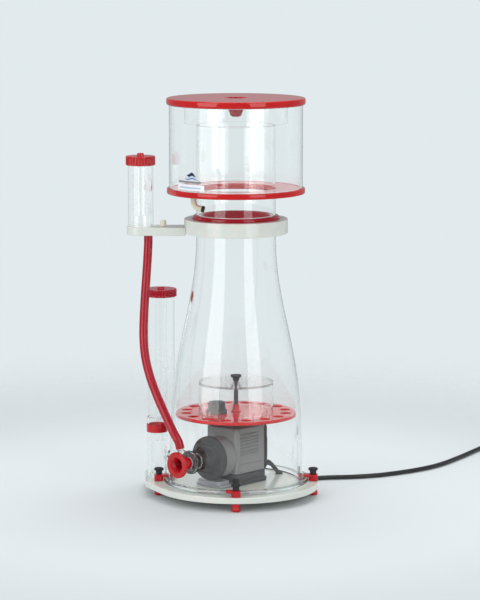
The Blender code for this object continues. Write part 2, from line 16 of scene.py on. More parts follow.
import bmesh
import bpy
import numpy as np
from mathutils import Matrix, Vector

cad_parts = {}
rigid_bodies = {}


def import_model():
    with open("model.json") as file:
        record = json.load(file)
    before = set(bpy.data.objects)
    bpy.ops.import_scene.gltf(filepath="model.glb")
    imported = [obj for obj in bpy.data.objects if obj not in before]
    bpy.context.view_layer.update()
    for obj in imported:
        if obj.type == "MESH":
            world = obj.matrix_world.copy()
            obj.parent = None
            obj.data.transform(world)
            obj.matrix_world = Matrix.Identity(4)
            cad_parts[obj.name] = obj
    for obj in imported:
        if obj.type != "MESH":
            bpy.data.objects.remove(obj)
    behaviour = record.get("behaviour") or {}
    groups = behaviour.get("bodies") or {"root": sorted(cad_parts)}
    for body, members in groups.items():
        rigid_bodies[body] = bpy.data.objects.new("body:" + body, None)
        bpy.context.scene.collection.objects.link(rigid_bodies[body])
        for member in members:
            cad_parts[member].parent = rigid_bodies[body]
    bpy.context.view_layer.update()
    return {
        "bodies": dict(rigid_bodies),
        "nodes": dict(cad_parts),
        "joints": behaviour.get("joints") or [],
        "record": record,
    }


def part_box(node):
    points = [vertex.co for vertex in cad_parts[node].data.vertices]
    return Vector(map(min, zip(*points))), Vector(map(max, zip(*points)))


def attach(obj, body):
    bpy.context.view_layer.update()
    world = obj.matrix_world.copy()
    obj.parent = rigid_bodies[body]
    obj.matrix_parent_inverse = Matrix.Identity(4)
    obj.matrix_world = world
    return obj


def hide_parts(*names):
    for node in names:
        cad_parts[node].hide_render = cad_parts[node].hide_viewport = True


LOG = logging.getLogger("skimmer")
Array = np.ndarray
Colour = tuple[float, float, float]
Direction = tuple[float, float, float]

COLUMN_X = 0.0199
ON_COLUMN = np.array([COLUMN_X, 0.0, 0.0])
GAP = 0.0003
PUMP_YAW = math.radians(228.0)
PUMP_HEIGHT = 0.065
BRANCH_HEIGHT, BRANCH_BORE = 0.050, 0.0085
ROD_HOLE, RISER_HOLE = 0.0037, 0.0103     # clearance holes for the dome's rod and the discharge pipe
WATER_PORT = 0.0135
FINE, MEDIUM, SMALL = 192, 96, 48      # segments round a large, a middle and a small turned piece

HOSE_RADIUS = 0.0064
HOSE_ROUTE = [(-0.1300, -0.0080, 0.3947), (-0.1302, -0.0085, 0.3800), (-0.1320, -0.0110, 0.3480),
              (-0.1345, -0.0160, 0.3120), (-0.1365, -0.0220, 0.2760), (-0.1370, -0.0290, 0.2460),
              (-0.1345, -0.0375, 0.2180), (-0.1275, -0.0480, 0.1900), (-0.1165, -0.0600, 0.1620),
              (-0.1045, -0.0725, 0.1370), (-0.0935, -0.0835, 0.1150), (-0.0845, -0.0895, 0.0990),
              (-0.0817, -0.0907, 0.0885)]

CORD_RADIUS = 0.0033
CORD_FLOOR = 0.0036
GLAND_SIDE, GLAND_HEIGHT, GLAND_TIP = 0.0155, 0.045, -0.0462
LEAD_BEND = 0.030
CORD_TABLE = [(0.0861, 0.0725), (0.0975, 0.0842), (0.1105, 0.0950), (0.1265, 0.1035), (0.1454, 0.1085),
              (0.1687, 0.1112), (0.1921, 0.1160), (0.2237, 0.1268), (0.2559, 0.1456), (0.2886, 0.1700),
              (0.3229, 0.2069), (0.3594, 0.2661), (0.3960, 0.3330), (0.4200, 0.3700), (0.4345, 0.3920),
              (0.4416, 0.4058)]
COIL = (0.4850, 0.4250)
COIL_OUTER, COIL_INNER, COIL_RISE = 0.0395, 0.0327, 0.0066
TAIL = [(0.5253, 0.4120, 0.0099), (0.5259, 0.4012, 0.0074), (0.5262, 0.3900, 0.0046),
        (0.5258, 0.3770, 0.0036), (0.5246, 0.3630, 0.0036), (0.5222, 0.3490, 0.0036),
        (0.5180, 0.3350, 0.0036), (0.5120, 0.3210, 0.0036)]


# ---------------------------------------------------------------- surfaces


def grid_faces(rows: int, columns: int, wrap_rows: bool = False) -> Array:
    """Quads of a grid of points whose columns close on themselves.

    Args:
        rows: number of rings.
        columns: number of points in a ring.
        wrap_rows: True joins the last ring to the first.

    Returns:
        One row of four point numbers for each quad.
    """
    row = np.arange(rows if wrap_rows else rows - 1)[:, None]
    column = np.arange(columns)[None, :]
    next_row, next_column = (row + 1) % rows, (column + 1) % columns
    corners = [row * columns + column, row * columns + next_column,
               next_row * columns + next_column, next_row * columns + column]
    return np.stack(corners, axis=-1).reshape(-1, 4)


@dataclass
class Surface:
    """Points and quads of one or more closed shells."""

    points: Array
    faces: Array

    def moved(self, x: float = 0.0, y: float = 0.0, z: float = 0.0) -> Surface:
        """The same surface, shifted."""
        return Surface(self.points + np.array([x, y, z]), self.faces)

    def turned_by(self, angle: float) -> Surface:
        """The same surface, turned round +Z."""
        c, s = math.cos(angle), math.sin(angle)
        return Surface(self.points @ np.array([[c, s, 0], [-s, c, 0], [0, 0, 1]]), self.faces)

    def laid(self) -> Surface:
        """The same surface, tipped over: +Z becomes +X, and +X becomes -Z."""
        x, y, z = self.points.T
        return Surface(np.stack([z, y, -x], axis=1), self.faces)

    def along_pump(self) -> Surface:
        """Lays a surface made round +Z down on the pump's shaft: +Z becomes the way the intake points."""
        return self.laid().turned_by(PUMP_YAW).moved(COLUMN_X, 0.0, PUMP_HEIGHT)

    def beside_pump(self) -> Surface:
        """Turns an upright surface, made with the pump's axis along +X, to the pump's real heading."""
        return self.turned_by(PUMP_YAW).moved(COLUMN_X)

    def __add__(self, other: Surface) -> Surface:
        """Both surfaces in one mesh, not joined."""
        return Surface(np.vstack([self.points, other.points]),
                       np.vstack([self.faces, other.faces + len(self.points)]))


def softened(corners: Sequence, radius: float, closed: bool, steps: int = 4) -> Array:
    """Rounds a polygon's corners.

    Each corner gives way to a quadratic curve that starts and ends `radius` away on its two sides, or 45 %
    of a side where that is shorter, with the old corner as its control point.

    Args:
        corners: (n, 2) points.
        radius: distance from the corner to where the curve begins.
        closed: False keeps the two end points as they are.
        steps: spans in each curve.

    Returns:
        (m, 2) points.
    """
    points = np.asarray(corners, float)
    before = np.roll(points, 1, axis=0) - points
    after = np.roll(points, -1, axis=0) - points
    reach_before = np.minimum(radius / np.maximum(np.linalg.norm(before, axis=1), 1e-9), 0.45)
    reach_after = np.minimum(radius / np.maximum(np.linalg.norm(after, axis=1), 1e-9), 0.45)
    if not closed:
        reach_before[[0, -1]] = 0
        reach_after[[0, -1]] = 0
    start = (points + before * reach_before[:, None])[:, None]
    end = (points + after * reach_after[:, None])[:, None]
    t = np.linspace(0, 1, steps + 1)[None, :, None]
    curve = ((1 - t) ** 2 * start + 2 * t * (1 - t) * points[:, None] + t ** 2 * end).reshape(-1, 2)
    keep = np.linalg.norm(curve - np.roll(curve, 1, axis=0), axis=1) > 1e-7
    return supported(curve[keep] if closed else curve[keep | (np.arange(len(curve)) == 0)], closed)


def supported(outline: Array, closed: bool, margin: float = 0.0004, shortest: float = 0.0055) -> Array:
    """Adds a point `margin` in from each end of every long straight run, so that it shades flat.

    Args:
        outline: (n, 2) points.
        closed: whether the last point runs back to the first.
        margin: distance from the end to the new point.
        shortest: runs shorter than this are left alone.

    Returns:
        (m, 2) points.
    """
    ends = np.roll(outline, -1, axis=0)
    run = ends - outline
    length = np.linalg.norm(run, axis=1)
    if not closed:
        length[-1] = 0
    step = run * (margin / np.maximum(length, 1e-9))[:, None]
    three = np.stack([outline, outline + step, ends - step], axis=1)
    long = length > shortest
    return three[np.stack([np.ones_like(long), long, long], axis=1)]


def closer(profile: Array, longest: float) -> Array:
    """Adds points on a profile's long straight runs, so that none is longer than `longest`.

    Args:
        profile: (n, 2) points.
        longest: the longest run that is left.

    Returns:
        (m, 2) points.
    """
    lengths = np.linalg.norm(np.diff(profile, axis=0), axis=1)
    counts = np.maximum(1, np.ceil(lengths / longest)).astype(int)
    place = np.concatenate([i + np.arange(n) / n for i, n in enumerate(counts)] + [[len(profile) - 1]])
    knots = np.arange(len(profile))
    return np.stack([np.interp(place, knots, profile[:, 0]), np.interp(place, knots, profile[:, 1])], axis=1)


@dataclass(frozen=True)
class Flutes:
    """Finger grooves round a turned piece, between two heights."""

    count: int
    depth: float
    low: float
    high: float

    def cut(self, radius: Array, height: Array, angle: Array) -> Array:
        """The radius less depth x ((1 + cos(count x angle)) / 2)^2, faded in over the band's ends.

        Args:
            radius: radius at each height.
            height: heights, one for each ring.
            angle: angles round the axis.

        Returns:
            One radius for each height and angle.
        """
        fade = np.clip((height - self.low) / 0.001, 0, 1) * np.clip((self.high - height) / 0.001, 0, 1)
        wave = ((1 + np.cos(self.count * angle)) / 2) ** 2
        return radius - self.depth * wave * fade * (radius > 2 * self.depth)


def turned(profile: Sequence, segments: int = MEDIUM, closed: bool = False, soft: float = 0.0006,
           flutes: Flutes | None = None, steps: int = 4) -> Surface:
    """A profile of (radius, height) spun round +Z: x = r cos a, y = r sin a, z = h.

    Args:
        profile: corners, from the axis round to the axis, or all round a hollow piece's wall.
        segments: points round the axis.
        closed: True for a hollow piece, whose profile closes on itself.
        soft: how far each corner is rounded.
        flutes: finger grooves cut into the side.
        steps: spans in each rounded corner.

    Returns:
        The spun surface.
    """
    outline = softened(profile, soft, closed, steps)
    if flutes:
        outline = closer(outline, 0.0008)
    angle = np.linspace(0, 2 * np.pi, segments, endpoint=False)[None, :]
    radius, height = outline[:, :1], outline[:, 1:]
    if flutes:
        radius = flutes.cut(radius, height, angle)
    x, y, z = np.broadcast_arrays(radius * np.cos(angle), radius * np.sin(angle), height)
    return Surface(np.stack([x, y, z], axis=-1).reshape(-1, 3), grid_faces(len(outline), segments, closed))


def pipe(outer: float, inner: float, low: float, high: float, segments: int = MEDIUM,
         soft: float = 0.0004) -> Surface:
    """A plain tube with softened rims."""
    return turned([(outer, low), (outer, high), (inner, high), (inner, low)], segments, True, soft)


def rod(radius: float, low: float, high: float, segments: int = SMALL, soft: float = 0.0004) -> Surface:
    """A plain solid cylinder with softened rims."""
    return turned([(0, low), (radius, low), (radius, high), (0, high)], segments, False, soft)


def outward_of(outline: Array) -> Array:
    """Unit directions across an anticlockwise outline, pointing out of it.

    Args:
        outline: (n, 2) points.

    Returns:
        (n, 2) directions.
    """
    along = np.roll(outline, -1, axis=0) - np.roll(outline, 1, axis=0)
    along /= np.linalg.norm(along, axis=1)[:, None]
    return np.stack([along[:, 1], -along[:, 0]], axis=1)


def stacked(rings: Array, heights: Array, middle: Array) -> Surface:
    """Level rings joined from the lowest to the highest, with each end drawn in to a point.

    Args:
        rings: (rings, n, 2) points.
        heights: each ring's height.
        middle: the point that both ends close on.

    Returns:
        The closed surface.
    """
    level = np.broadcast_to(heights[:, None, None], (*rings.shape[:2], 1))
    body = np.concatenate([rings, level], axis=2)
    centre = np.broadcast_to(middle, rings.shape[1:])
    caps = [np.concatenate([centre, np.full((len(centre), 1), z)], axis=1)[None] for z in heights[[0, -1]]]
    points = np.concatenate([caps[0], body, caps[1]])
    return Surface(points.reshape(-1, 3), grid_faces(len(points), len(centre)))


def slab(outline: Array, low: float, high: float, edge: float = 0.0008, steps: int = 4) -> Surface:
    """A flat plate with quarter-round edges.

    Rings follow the outline: inset edge x (1 - sin a), height low + edge x (1 - cos a), mirrored at the top,
    with one more ring on each flat beside the edge. A ring shrunk to the outline's middle closes each side.

    Args:
        outline: (n, 2) points, anticlockwise, all in sight of their mean.
        low: underside.
        high: top.
        edge: radius of the edges.
        steps: spans in each edge.

    Returns:
        The closed plate.
    """
    arc = np.linspace(0, np.pi / 2, steps + 1)
    inset = edge * (1 - np.sin(arc))
    rise = edge * (1 - np.cos(arc))
    flat = min(0.0005, edge)
    side = max(0.0, min(flat, (high - low - 2 * edge) / 3))
    insets = np.concatenate([[edge + flat], inset, [0, 0], inset[::-1], [edge + flat]])
    sides = [low + edge + side, high - edge - side]
    heights = np.concatenate([[low], low + rise, sides, (high - rise)[::-1], [high]])
    rings = outline[None] - insets[:, None, None] * outward_of(outline)[None]
    return stacked(rings, heights, outline.mean(axis=0))


def round_rectangle(x0: float, x1: float, y0: float, y1: float, radius: float, count: int = 96) -> Array:
    """An evenly spaced outline of a rectangle with round corners, anticlockwise.

    Args:
        x0: left side.
        x1: right side.
        y0: near side.
        y1: far side.
        radius: about the radius of the corners.
        count: number of points.

    Returns:
        (count, 2) points.
    """
    corners = [(x0, y0), (x1, y0), (x1, y1), (x0, y1)]
    outline = softened(corners, radius * 1.2, True, 8)
    return even(np.vstack([outline, outline[:1]]), count + 1)[:-1]


def even(points: Array, count: int) -> Array:
    """Points at even spacing along a polyline.

    Args:
        points: (n, 2) or (n, 3) points.
        count: number of points to give back.

    Returns:
        The evenly spaced points.
    """
    lengths = np.concatenate([[0], np.cumsum(np.linalg.norm(np.diff(points, axis=0), axis=1))])
    wanted = np.linspace(0, lengths[-1], count)
    return np.stack([np.interp(wanted, lengths, points[:, axis]) for axis in range(points.shape[1])], axis=1)


def length_of(path: Array) -> float:
    """A polyline's length."""
    return float(np.linalg.norm(np.diff(path, axis=0), axis=1).sum())


def smooth_route(knots: Sequence, spacing: float) -> Array:
    """A Catmull-Rom curve through the knots, read at even spacing.

    Args:
        knots: (n, 3) points that the curve passes through.
        spacing: about the distance between the points of the result.

    Returns:
        (m, 3) points.
    """
    points = np.asarray(knots, float)
    padded = np.vstack([2 * points[0] - points[1], points, 2 * points[-1] - points[-2]])
    a, b, c, d = (padded[i:len(padded) - 3 + i, None] for i in range(4))
    t = np.linspace(0, 1, 24, endpoint=False)[None, :, None]
    square, cube = 2 * a - 5 * b + 4 * c - d, 3 * b - a - 3 * c + d
    curve = 0.5 * (2 * b + (c - a) * t + square * t ** 2 + cube * t ** 3)
    fine = np.vstack([curve.reshape(-1, points.shape[1]), points[-1:]])
    return even(fine, max(3, round(length_of(fine) / spacing) + 1))


def swept(path: Array, radius: float | Array, sides: int = 20,
          reference: Direction = (0.0, 0.0, 1.0)) -> Surface:
    """A round section carried along a path, closed at both ends.

    The section's axes are the path's tangent crossed with `reference`, and that crossed with the tangent.

    Args:
        path: (n, 3) points.
        radius: one radius, or one for each point.
        sides: points round the section.
        reference: a direction that the path never takes.

    Returns:
        The closed tube.
    """
    tangent = np.gradient(path, axis=0)
    tangent /= np.linalg.norm(tangent, axis=1)[:, None]
    side = np.cross(tangent, reference)
    side /= np.linalg.norm(side, axis=1)[:, None]
    up = np.cross(side, tangent)
    angle = np.linspace(0, 2 * np.pi, sides, endpoint=False)
    section = side[:, None] * np.cos(angle)[None, :, None] + up[:, None] * np.sin(angle)[None, :, None]
    reach = np.broadcast_to(radius, len(path))[:, None, None]
    rings = path[:, None] + reach * section
    caps = [np.broadcast_to(path[end], (1, sides, 3)) for end in (0, -1)]
    points = np.concatenate([caps[0], rings, caps[1]])
    return Surface(points.reshape(-1, 3), grid_faces(len(points), sides))


def many(shape: Surface, places: Array) -> Surface:
    """Copies of a shape at (n, 3) places, as one surface.

    Args:
        shape: the surface to copy.
        places: shifts, one for each copy.

    Returns:
        All the copies.
    """
    points = (shape.points[None] + places[:, None]).reshape(-1, 3)
    shift = (np.arange(len(places)) * len(shape.points))[:, None, None]
    return Surface(points, (shape.faces[None] + shift).reshape(-1, 4))


def ring_of(count: int, radius: float, phase: float = 0.0) -> Array:
    """(count, 3) places evenly round the column's axis.

    Args:
        count: number of places.
        radius: radius of their circle.
        phase: turn of the whole ring, as a share of one step.

    Returns:
        (count, 3) points.
    """
    angle = 2 * np.pi * (np.arange(count) + phase) / count
    return np.stack([radius * np.cos(angle), radius * np.sin(angle), np.zeros(count)], axis=1)


def pump_point(forward: float, side: float, height: float) -> tuple[float, float, float]:
    """A point given along the pump's axis, to its side and above the floor.

    Args:
        forward: distance from the column, towards the intake.
        side: distance to the left of that.
        height: height above the floor.

    Returns:
        The point.
    """
    c, s = math.cos(PUMP_YAW), math.sin(PUMP_YAW)
    return COLUMN_X + forward * c - side * s, forward * s + side * c, height


# ---------------------------------------------------------------- finishes


class NodeSheet:
    """A material's node tree, laid out in a few calls."""

    def __init__(self, name: str) -> None:
        """Starts an empty material whose patterns read Object coordinates."""
        self.material = bpy.data.materials.new(name)
        self.material.use_nodes = True
        self.tree = self.material.node_tree
        self.tree.nodes.clear()
        self.output = self.add("ShaderNodeOutputMaterial")
        self.place = self.add("ShaderNodeTexCoord").outputs["Object"]

    def add(self, kind: str, settings: dict | None = None, **sockets) -> bpy.types.Node:
        """Adds a node.

        Args:
            kind: the node's type.
            settings: properties of the node itself.
            **sockets: inputs by name, spaces written as underscores, each a value or another node's output.

        Returns:
            The node.
        """
        node = self.tree.nodes.new(kind)
        for key, value in (settings or {}).items():
            setattr(node, key, value)
        for key, value in sockets.items():
            socket = node.inputs[key.replace("_", " ")]
            if isinstance(value, bpy.types.NodeSocket):
                self.tree.links.new(value, socket)
            else:
                socket.default_value = value
        return node

    def noise(self, scale: float, detail: float = 3.0) -> bpy.types.NodeSocket:
        """Soft noise from 0 to 1, with `scale` waves to the metre."""
        return self.add("ShaderNodeTexNoise", Vector=self.place, Scale=scale, Detail=detail).outputs[0]

    def spread(self, value: bpy.types.NodeSocket, low: float, high: float) -> bpy.types.NodeSocket:
        """Stretches noise's usual 0.3 to 0.7 to low to high."""
        node = self.add("ShaderNodeMapRange", Value=value, From_Min=0.3, From_Max=0.7, To_Min=low,
                        To_Max=high)
        return node.outputs[0]

    def blend(self, factor: bpy.types.NodeSocket, first: Colour, second: Colour) -> bpy.types.NodeSocket:
        """A colour between two, by a factor.

        Args:
            factor: 0 gives the first colour, 1 the second.
            first: the first colour.
            second: the second colour.

        Returns:
            The blended colour.
        """
        node = self.add("ShaderNodeMix", {"data_type": "RGBA"})
        self.tree.links.new(factor, node.inputs[0])
        node.inputs[6].default_value = (*first, 1)
        node.inputs[7].default_value = (*second, 1)
        return node.outputs[2]

    def bump(self, height: bpy.types.NodeSocket, depth: float) -> bpy.types.NodeSocket:
        """A normal that rises and falls by `depth` metres."""
        return self.add("ShaderNodeBump", Strength=1.0, Distance=depth, Height=height).outputs[0]

    def finish(self, shader: bpy.types.NodeSocket) -> bpy.types.Material:
        """Links the last shader and gives the material."""
        self.tree.links.new(shader, self.output.inputs["Surface"])
        return self.material


@dataclass(frozen=True)
class Plastic:
    """A moulded or cast plastic, rubber or nylon: two near colours, a wandering polish and a fine grain."""

    slot: str
    colour: Colour
    drift: Colour
    polish: tuple[float, float]
    grain: float = 900.0
    depth: float = 0.00002
    glow: float = 0.0
    passes: float = 0.0
    metal: float = 0.0
    clouds: float = 22.0

    def material(self, name: str) -> bpy.types.Material:
        """The colour drifts with slow noise, the roughness with a quicker one, and the bump is the grain.

        Args:
            name: the material's name.

        Returns:
            The material.
        """
        sheet = NodeSheet(name)
        colour = sheet.blend(sheet.spread(sheet.noise(self.clouds), 0.0, 1.0), self.colour, self.drift)
        rough = sheet.spread(sheet.noise(self.clouds * 5, 5.0), *self.polish)
        normal = sheet.bump(sheet.noise(self.grain, 2.0), self.depth)
        shader = sheet.add("ShaderNodeBsdfPrincipled", Base_Color=colour, Roughness=rough, Normal=normal,
                           IOR=1.49, Metallic=self.metal, Subsurface_Weight=self.glow, Subsurface_Scale=0.004,
                           Transmission_Weight=self.passes)
        return sheet.finish(shader.outputs[0])


@dataclass(frozen=True)
class Clear:
    """Clear acrylic that bends light for the eye and lets lamplight straight through."""

    slot: str
    tint: Colour
    polish: tuple[float, float]
    ripple: float = 0.000004
    shade: Colour = (0.95, 0.97, 0.965)

    def material(self, name: str) -> bpy.types.Material:
        """Glass for every ray but a shadow ray, which goes straight through.

        Args:
            name: the material's name.

        Returns:
            The material.
        """
        sheet = NodeSheet(name)
        rough = sheet.spread(sheet.noise(60.0, 5.0), *self.polish)
        normal = sheet.bump(sheet.noise(35.0, 1.0), self.ripple)
        glass = sheet.add("ShaderNodeBsdfPrincipled", Base_Color=(*self.tint, 1), Roughness=rough,
                          Normal=normal, IOR=1.43, Transmission_Weight=1.0)
        through = sheet.add("ShaderNodeBsdfTransparent", Color=(*self.shade, 1))
        path = sheet.add("ShaderNodeLightPath")
        mixed = sheet.add("ShaderNodeMixShader")
        sheet.tree.links.new(path.outputs["Is Shadow Ray"], mixed.inputs[0])
        sheet.tree.links.new(glass.outputs[0], mixed.inputs[1])
        sheet.tree.links.new(through.outputs[0], mixed.inputs[2])
        return sheet.finish(mixed.outputs[0])


class Finish(Enum):
    """Every finish on the skimmer."""

    CLEAR = Clear("clear_acrylic", (0.995, 1.0, 0.998), (0.0, 0.006), 0.000001)
    FROSTED = Clear("clear_acrylic", (0.96, 0.95, 0.95), (0.12, 0.22), 0.00002)
    RED_SHEET = Plastic("red_acrylic", (0.56, 0.012, 0.012),
                        (0.48, 0.007, 0.009), (0.03, 0.07), 700, 0.000003)
    CRIMSON = Plastic("red_acrylic", (0.40, 0.002, 0.016),
                      (0.32, 0.001, 0.011), (0.08, 0.16), 700, 0.000004, 0.2)
    RED_MOULDED = Plastic("red_plastic", (0.50, 0.007, 0.012),
                          (0.42, 0.004, 0.009), (0.12, 0.24), 1400, 0.000008)
    HOSE = Plastic("hose_silicone", (0.40, 0.001, 0.016),
                   (0.33, 0.001, 0.012), (0.18, 0.30), 500, 0.000008, 0.25)
    WHITE_SHEET = Plastic("white_acrylic", (0.69, 0.71, 0.66),
                          (0.64, 0.665, 0.62), (0.08, 0.18), 900, 0.000005, 0.3)
    CREAM = Plastic("cream_nylon", (0.74, 0.69, 0.56), (0.66, 0.60, 0.46), (0.30, 0.45), 1500, 0.00002)
    BLACK_NYLON = Plastic("black_nylon", (0.014, 0.014, 0.016),
                          (0.024, 0.024, 0.026), (0.28, 0.46), 1800, 0.00002)
    SEAL = Plastic("seal_rubber", (0.03, 0.03, 0.03), (0.02, 0.02, 0.02), (0.5, 0.7), 1200, 0.00003)
    PUMP_GREY = Plastic("pump_grey", (0.215, 0.212, 0.205),
                        (0.175, 0.172, 0.166), (0.38, 0.55), 2200, 0.00005)
    STAND_GREY = Plastic("pump_grey", (0.30, 0.30, 0.32), (0.24, 0.24, 0.26), (0.25, 0.40), 1800, 0.00003)
    PUMP_BLACK = Plastic("pump_black", (0.006, 0.006, 0.007),
                         (0.010, 0.010, 0.011), (0.30, 0.46), 2200, 0.00003)
    CORD = Plastic("cord_rubber", (0.012, 0.012, 0.013), (0.020, 0.020, 0.021), (0.38, 0.52), 1500, 0.00003)
    BRASS = Plastic("cream_nylon", (0.70, 0.55, 0.30),
                    (0.62, 0.47, 0.24), (0.18, 0.30), 800, 0.00001, metal=1.0)
    LABEL_WHITE = Plastic("white_acrylic", (0.86, 0.88, 0.90), (0.82, 0.85, 0.88), (0.25, 0.35))
    LABEL_BLUE = Plastic("white_acrylic", (0.10, 0.22, 0.52), (0.06, 0.16, 0.44), (0.25, 0.35))
    LABEL_GREY = Plastic("white_acrylic", (0.16, 0.18, 0.21), (0.24, 0.26, 0.29), (0.25, 0.35))
    LABEL_PALE = Plastic("white_acrylic", (0.48, 0.60, 0.78), (0.42, 0.54, 0.72), (0.25, 0.35))
    LABEL_NAVY = Plastic("white_acrylic", (0.010, 0.020, 0.045), (0.02, 0.035, 0.07), (0.25, 0.35))

    @property
    def material(self) -> bpy.types.Material:
        """The finish's material, made once."""
        name = self.name.lower()
        return bpy.data.materials.get(name) or self.value.material(name)


# ---------------------------------------------------------------- placing


@dataclass(frozen=True)
class Site:
    """Where an upright round node stands, from its box."""

    x: float
    y: float
    low: float
    high: float
    radius: float

    @classmethod
    def of(cls, node: str) -> Site:
        """Reads a node's box.

        Args:
            node: the node's name.

        Returns:
            Its axis, heights and radius.
        """
        lowest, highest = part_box(node)
        return cls((lowest.x + highest.x) / 2, (lowest.y + highest.y) / 2, lowest.z, highest.z,
                   (highest.x - lowest.x) / 2)

    def set(self, surface: Surface) -> Surface:
        """Moves a surface made round the origin to this axis."""
        return surface.moved(self.x, self.y)

    def tube(self, wall: float, segments: int = MEDIUM, soft: float = 0.0004) -> Surface:
        """A plain tube of this site's radius and height, with a wall of the given thickness."""
        return self.set(pipe(self.radius, self.radius - wall, self.low, self.high, segments, soft))


def meshed(name: str, surface: Surface) -> bpy.types.Object:
    """Makes a mesh object: doubles merged at the poles, faces turned outwards.

    Args:
        name: the object's name.
        surface: its shape.

    Returns:
        The object.
    """
    mesh = bpy.data.meshes.new(name)
    mesh.from_pydata(surface.points.tolist(), [], surface.faces.tolist())
    work = bmesh.new()
    work.from_mesh(mesh)
    bmesh.ops.remove_doubles(work, verts=work.verts, dist=1e-6)
    bmesh.ops.dissolve_degenerate(work, edges=work.edges, dist=1e-7)
    bmesh.ops.recalc_face_normals(work, faces=work.faces)
    work.to_mesh(mesh)
    work.free()
    obj = bpy.data.objects.new(name, mesh)
    bpy.context.scene.collection.objects.link(obj)
    return obj


def cut_from(piece: bpy.types.Object, tool: Surface) -> None:
    """Cuts a surface's shells out of a piece and keeps the result as its mesh.

    Args:
        piece: the piece to cut.
        tool: the closed shells to take away.
    """
    cutter = meshed("cutter", tool)
    modifier = piece.modifiers.new("cut", "BOOLEAN")
    modifier.operation = "DIFFERENCE"
    modifier.solver = "EXACT"
    modifier.object = cutter
    bpy.context.view_layer.update()
    graph = bpy.context.evaluated_depsgraph_get()
    result = bpy.data.meshes.new_from_object(piece.evaluated_get(graph))
    piece.modifiers.clear()
    piece.data = result
    bpy.data.objects.remove(cutter)


class Bench:
    """Sets finished pieces on the bodies of the nodes that they stand for."""

    def __init__(self, frame: dict) -> None:
        """Reads which body each node is on."""
        self.frame = frame
        groups = frame["record"]["behaviour"]["bodies"]
        self.body_of = {node: body for body, nodes in groups.items() for node in nodes}

    def place(self, name: str, surface: Surface, finish: Finish, *nodes: str, on: str = "",
              cut: Surface | None = None, crease: float = 32.0) -> bpy.types.Object:
        """Makes a piece, dresses it and lets it ride.

        Args:
            name: the piece's name.
            surface: its shape.
            finish: its finish.
            *nodes: the nodes that it stands for; it rides with the first.
            on: the body that it rides on when it stands for no node.
            cut: shells to cut out of it.
            crease: edges sharper than this many degrees stay sharp.

        Returns:
            The piece.
        """
        piece = meshed(name, surface)
        if cut is not None:
            cut_from(piece, cut)
        piece.data.materials.clear()
        piece.data.materials.append(finish.material)
        piece.data.shade_smooth()
        piece.data.set_sharp_from_angle(angle=math.radians(crease))
        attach(piece, on or self.body_of[nodes[0]])
        if nodes:
            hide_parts(*nodes)
        LOG.info("%s: %d faces, stands for %s", name, len(piece.data.polygons), ", ".join(nodes) or "no node")
        return piece

    def dress(self, finish: Finish, *nodes: str) -> None:
        """Gives nodes whose shape is kept a finer material.

        Args:
            finish: their finish.
            *nodes: the nodes.
        """
        for node in nodes:
            obj = self.frame["nodes"][node]
            obj.data.materials.clear()
            obj.data.materials.append(finish.material)
            LOG.info("%s: kept, %s", node, finish.name.lower())


# ---------------------------------------------------------------- base


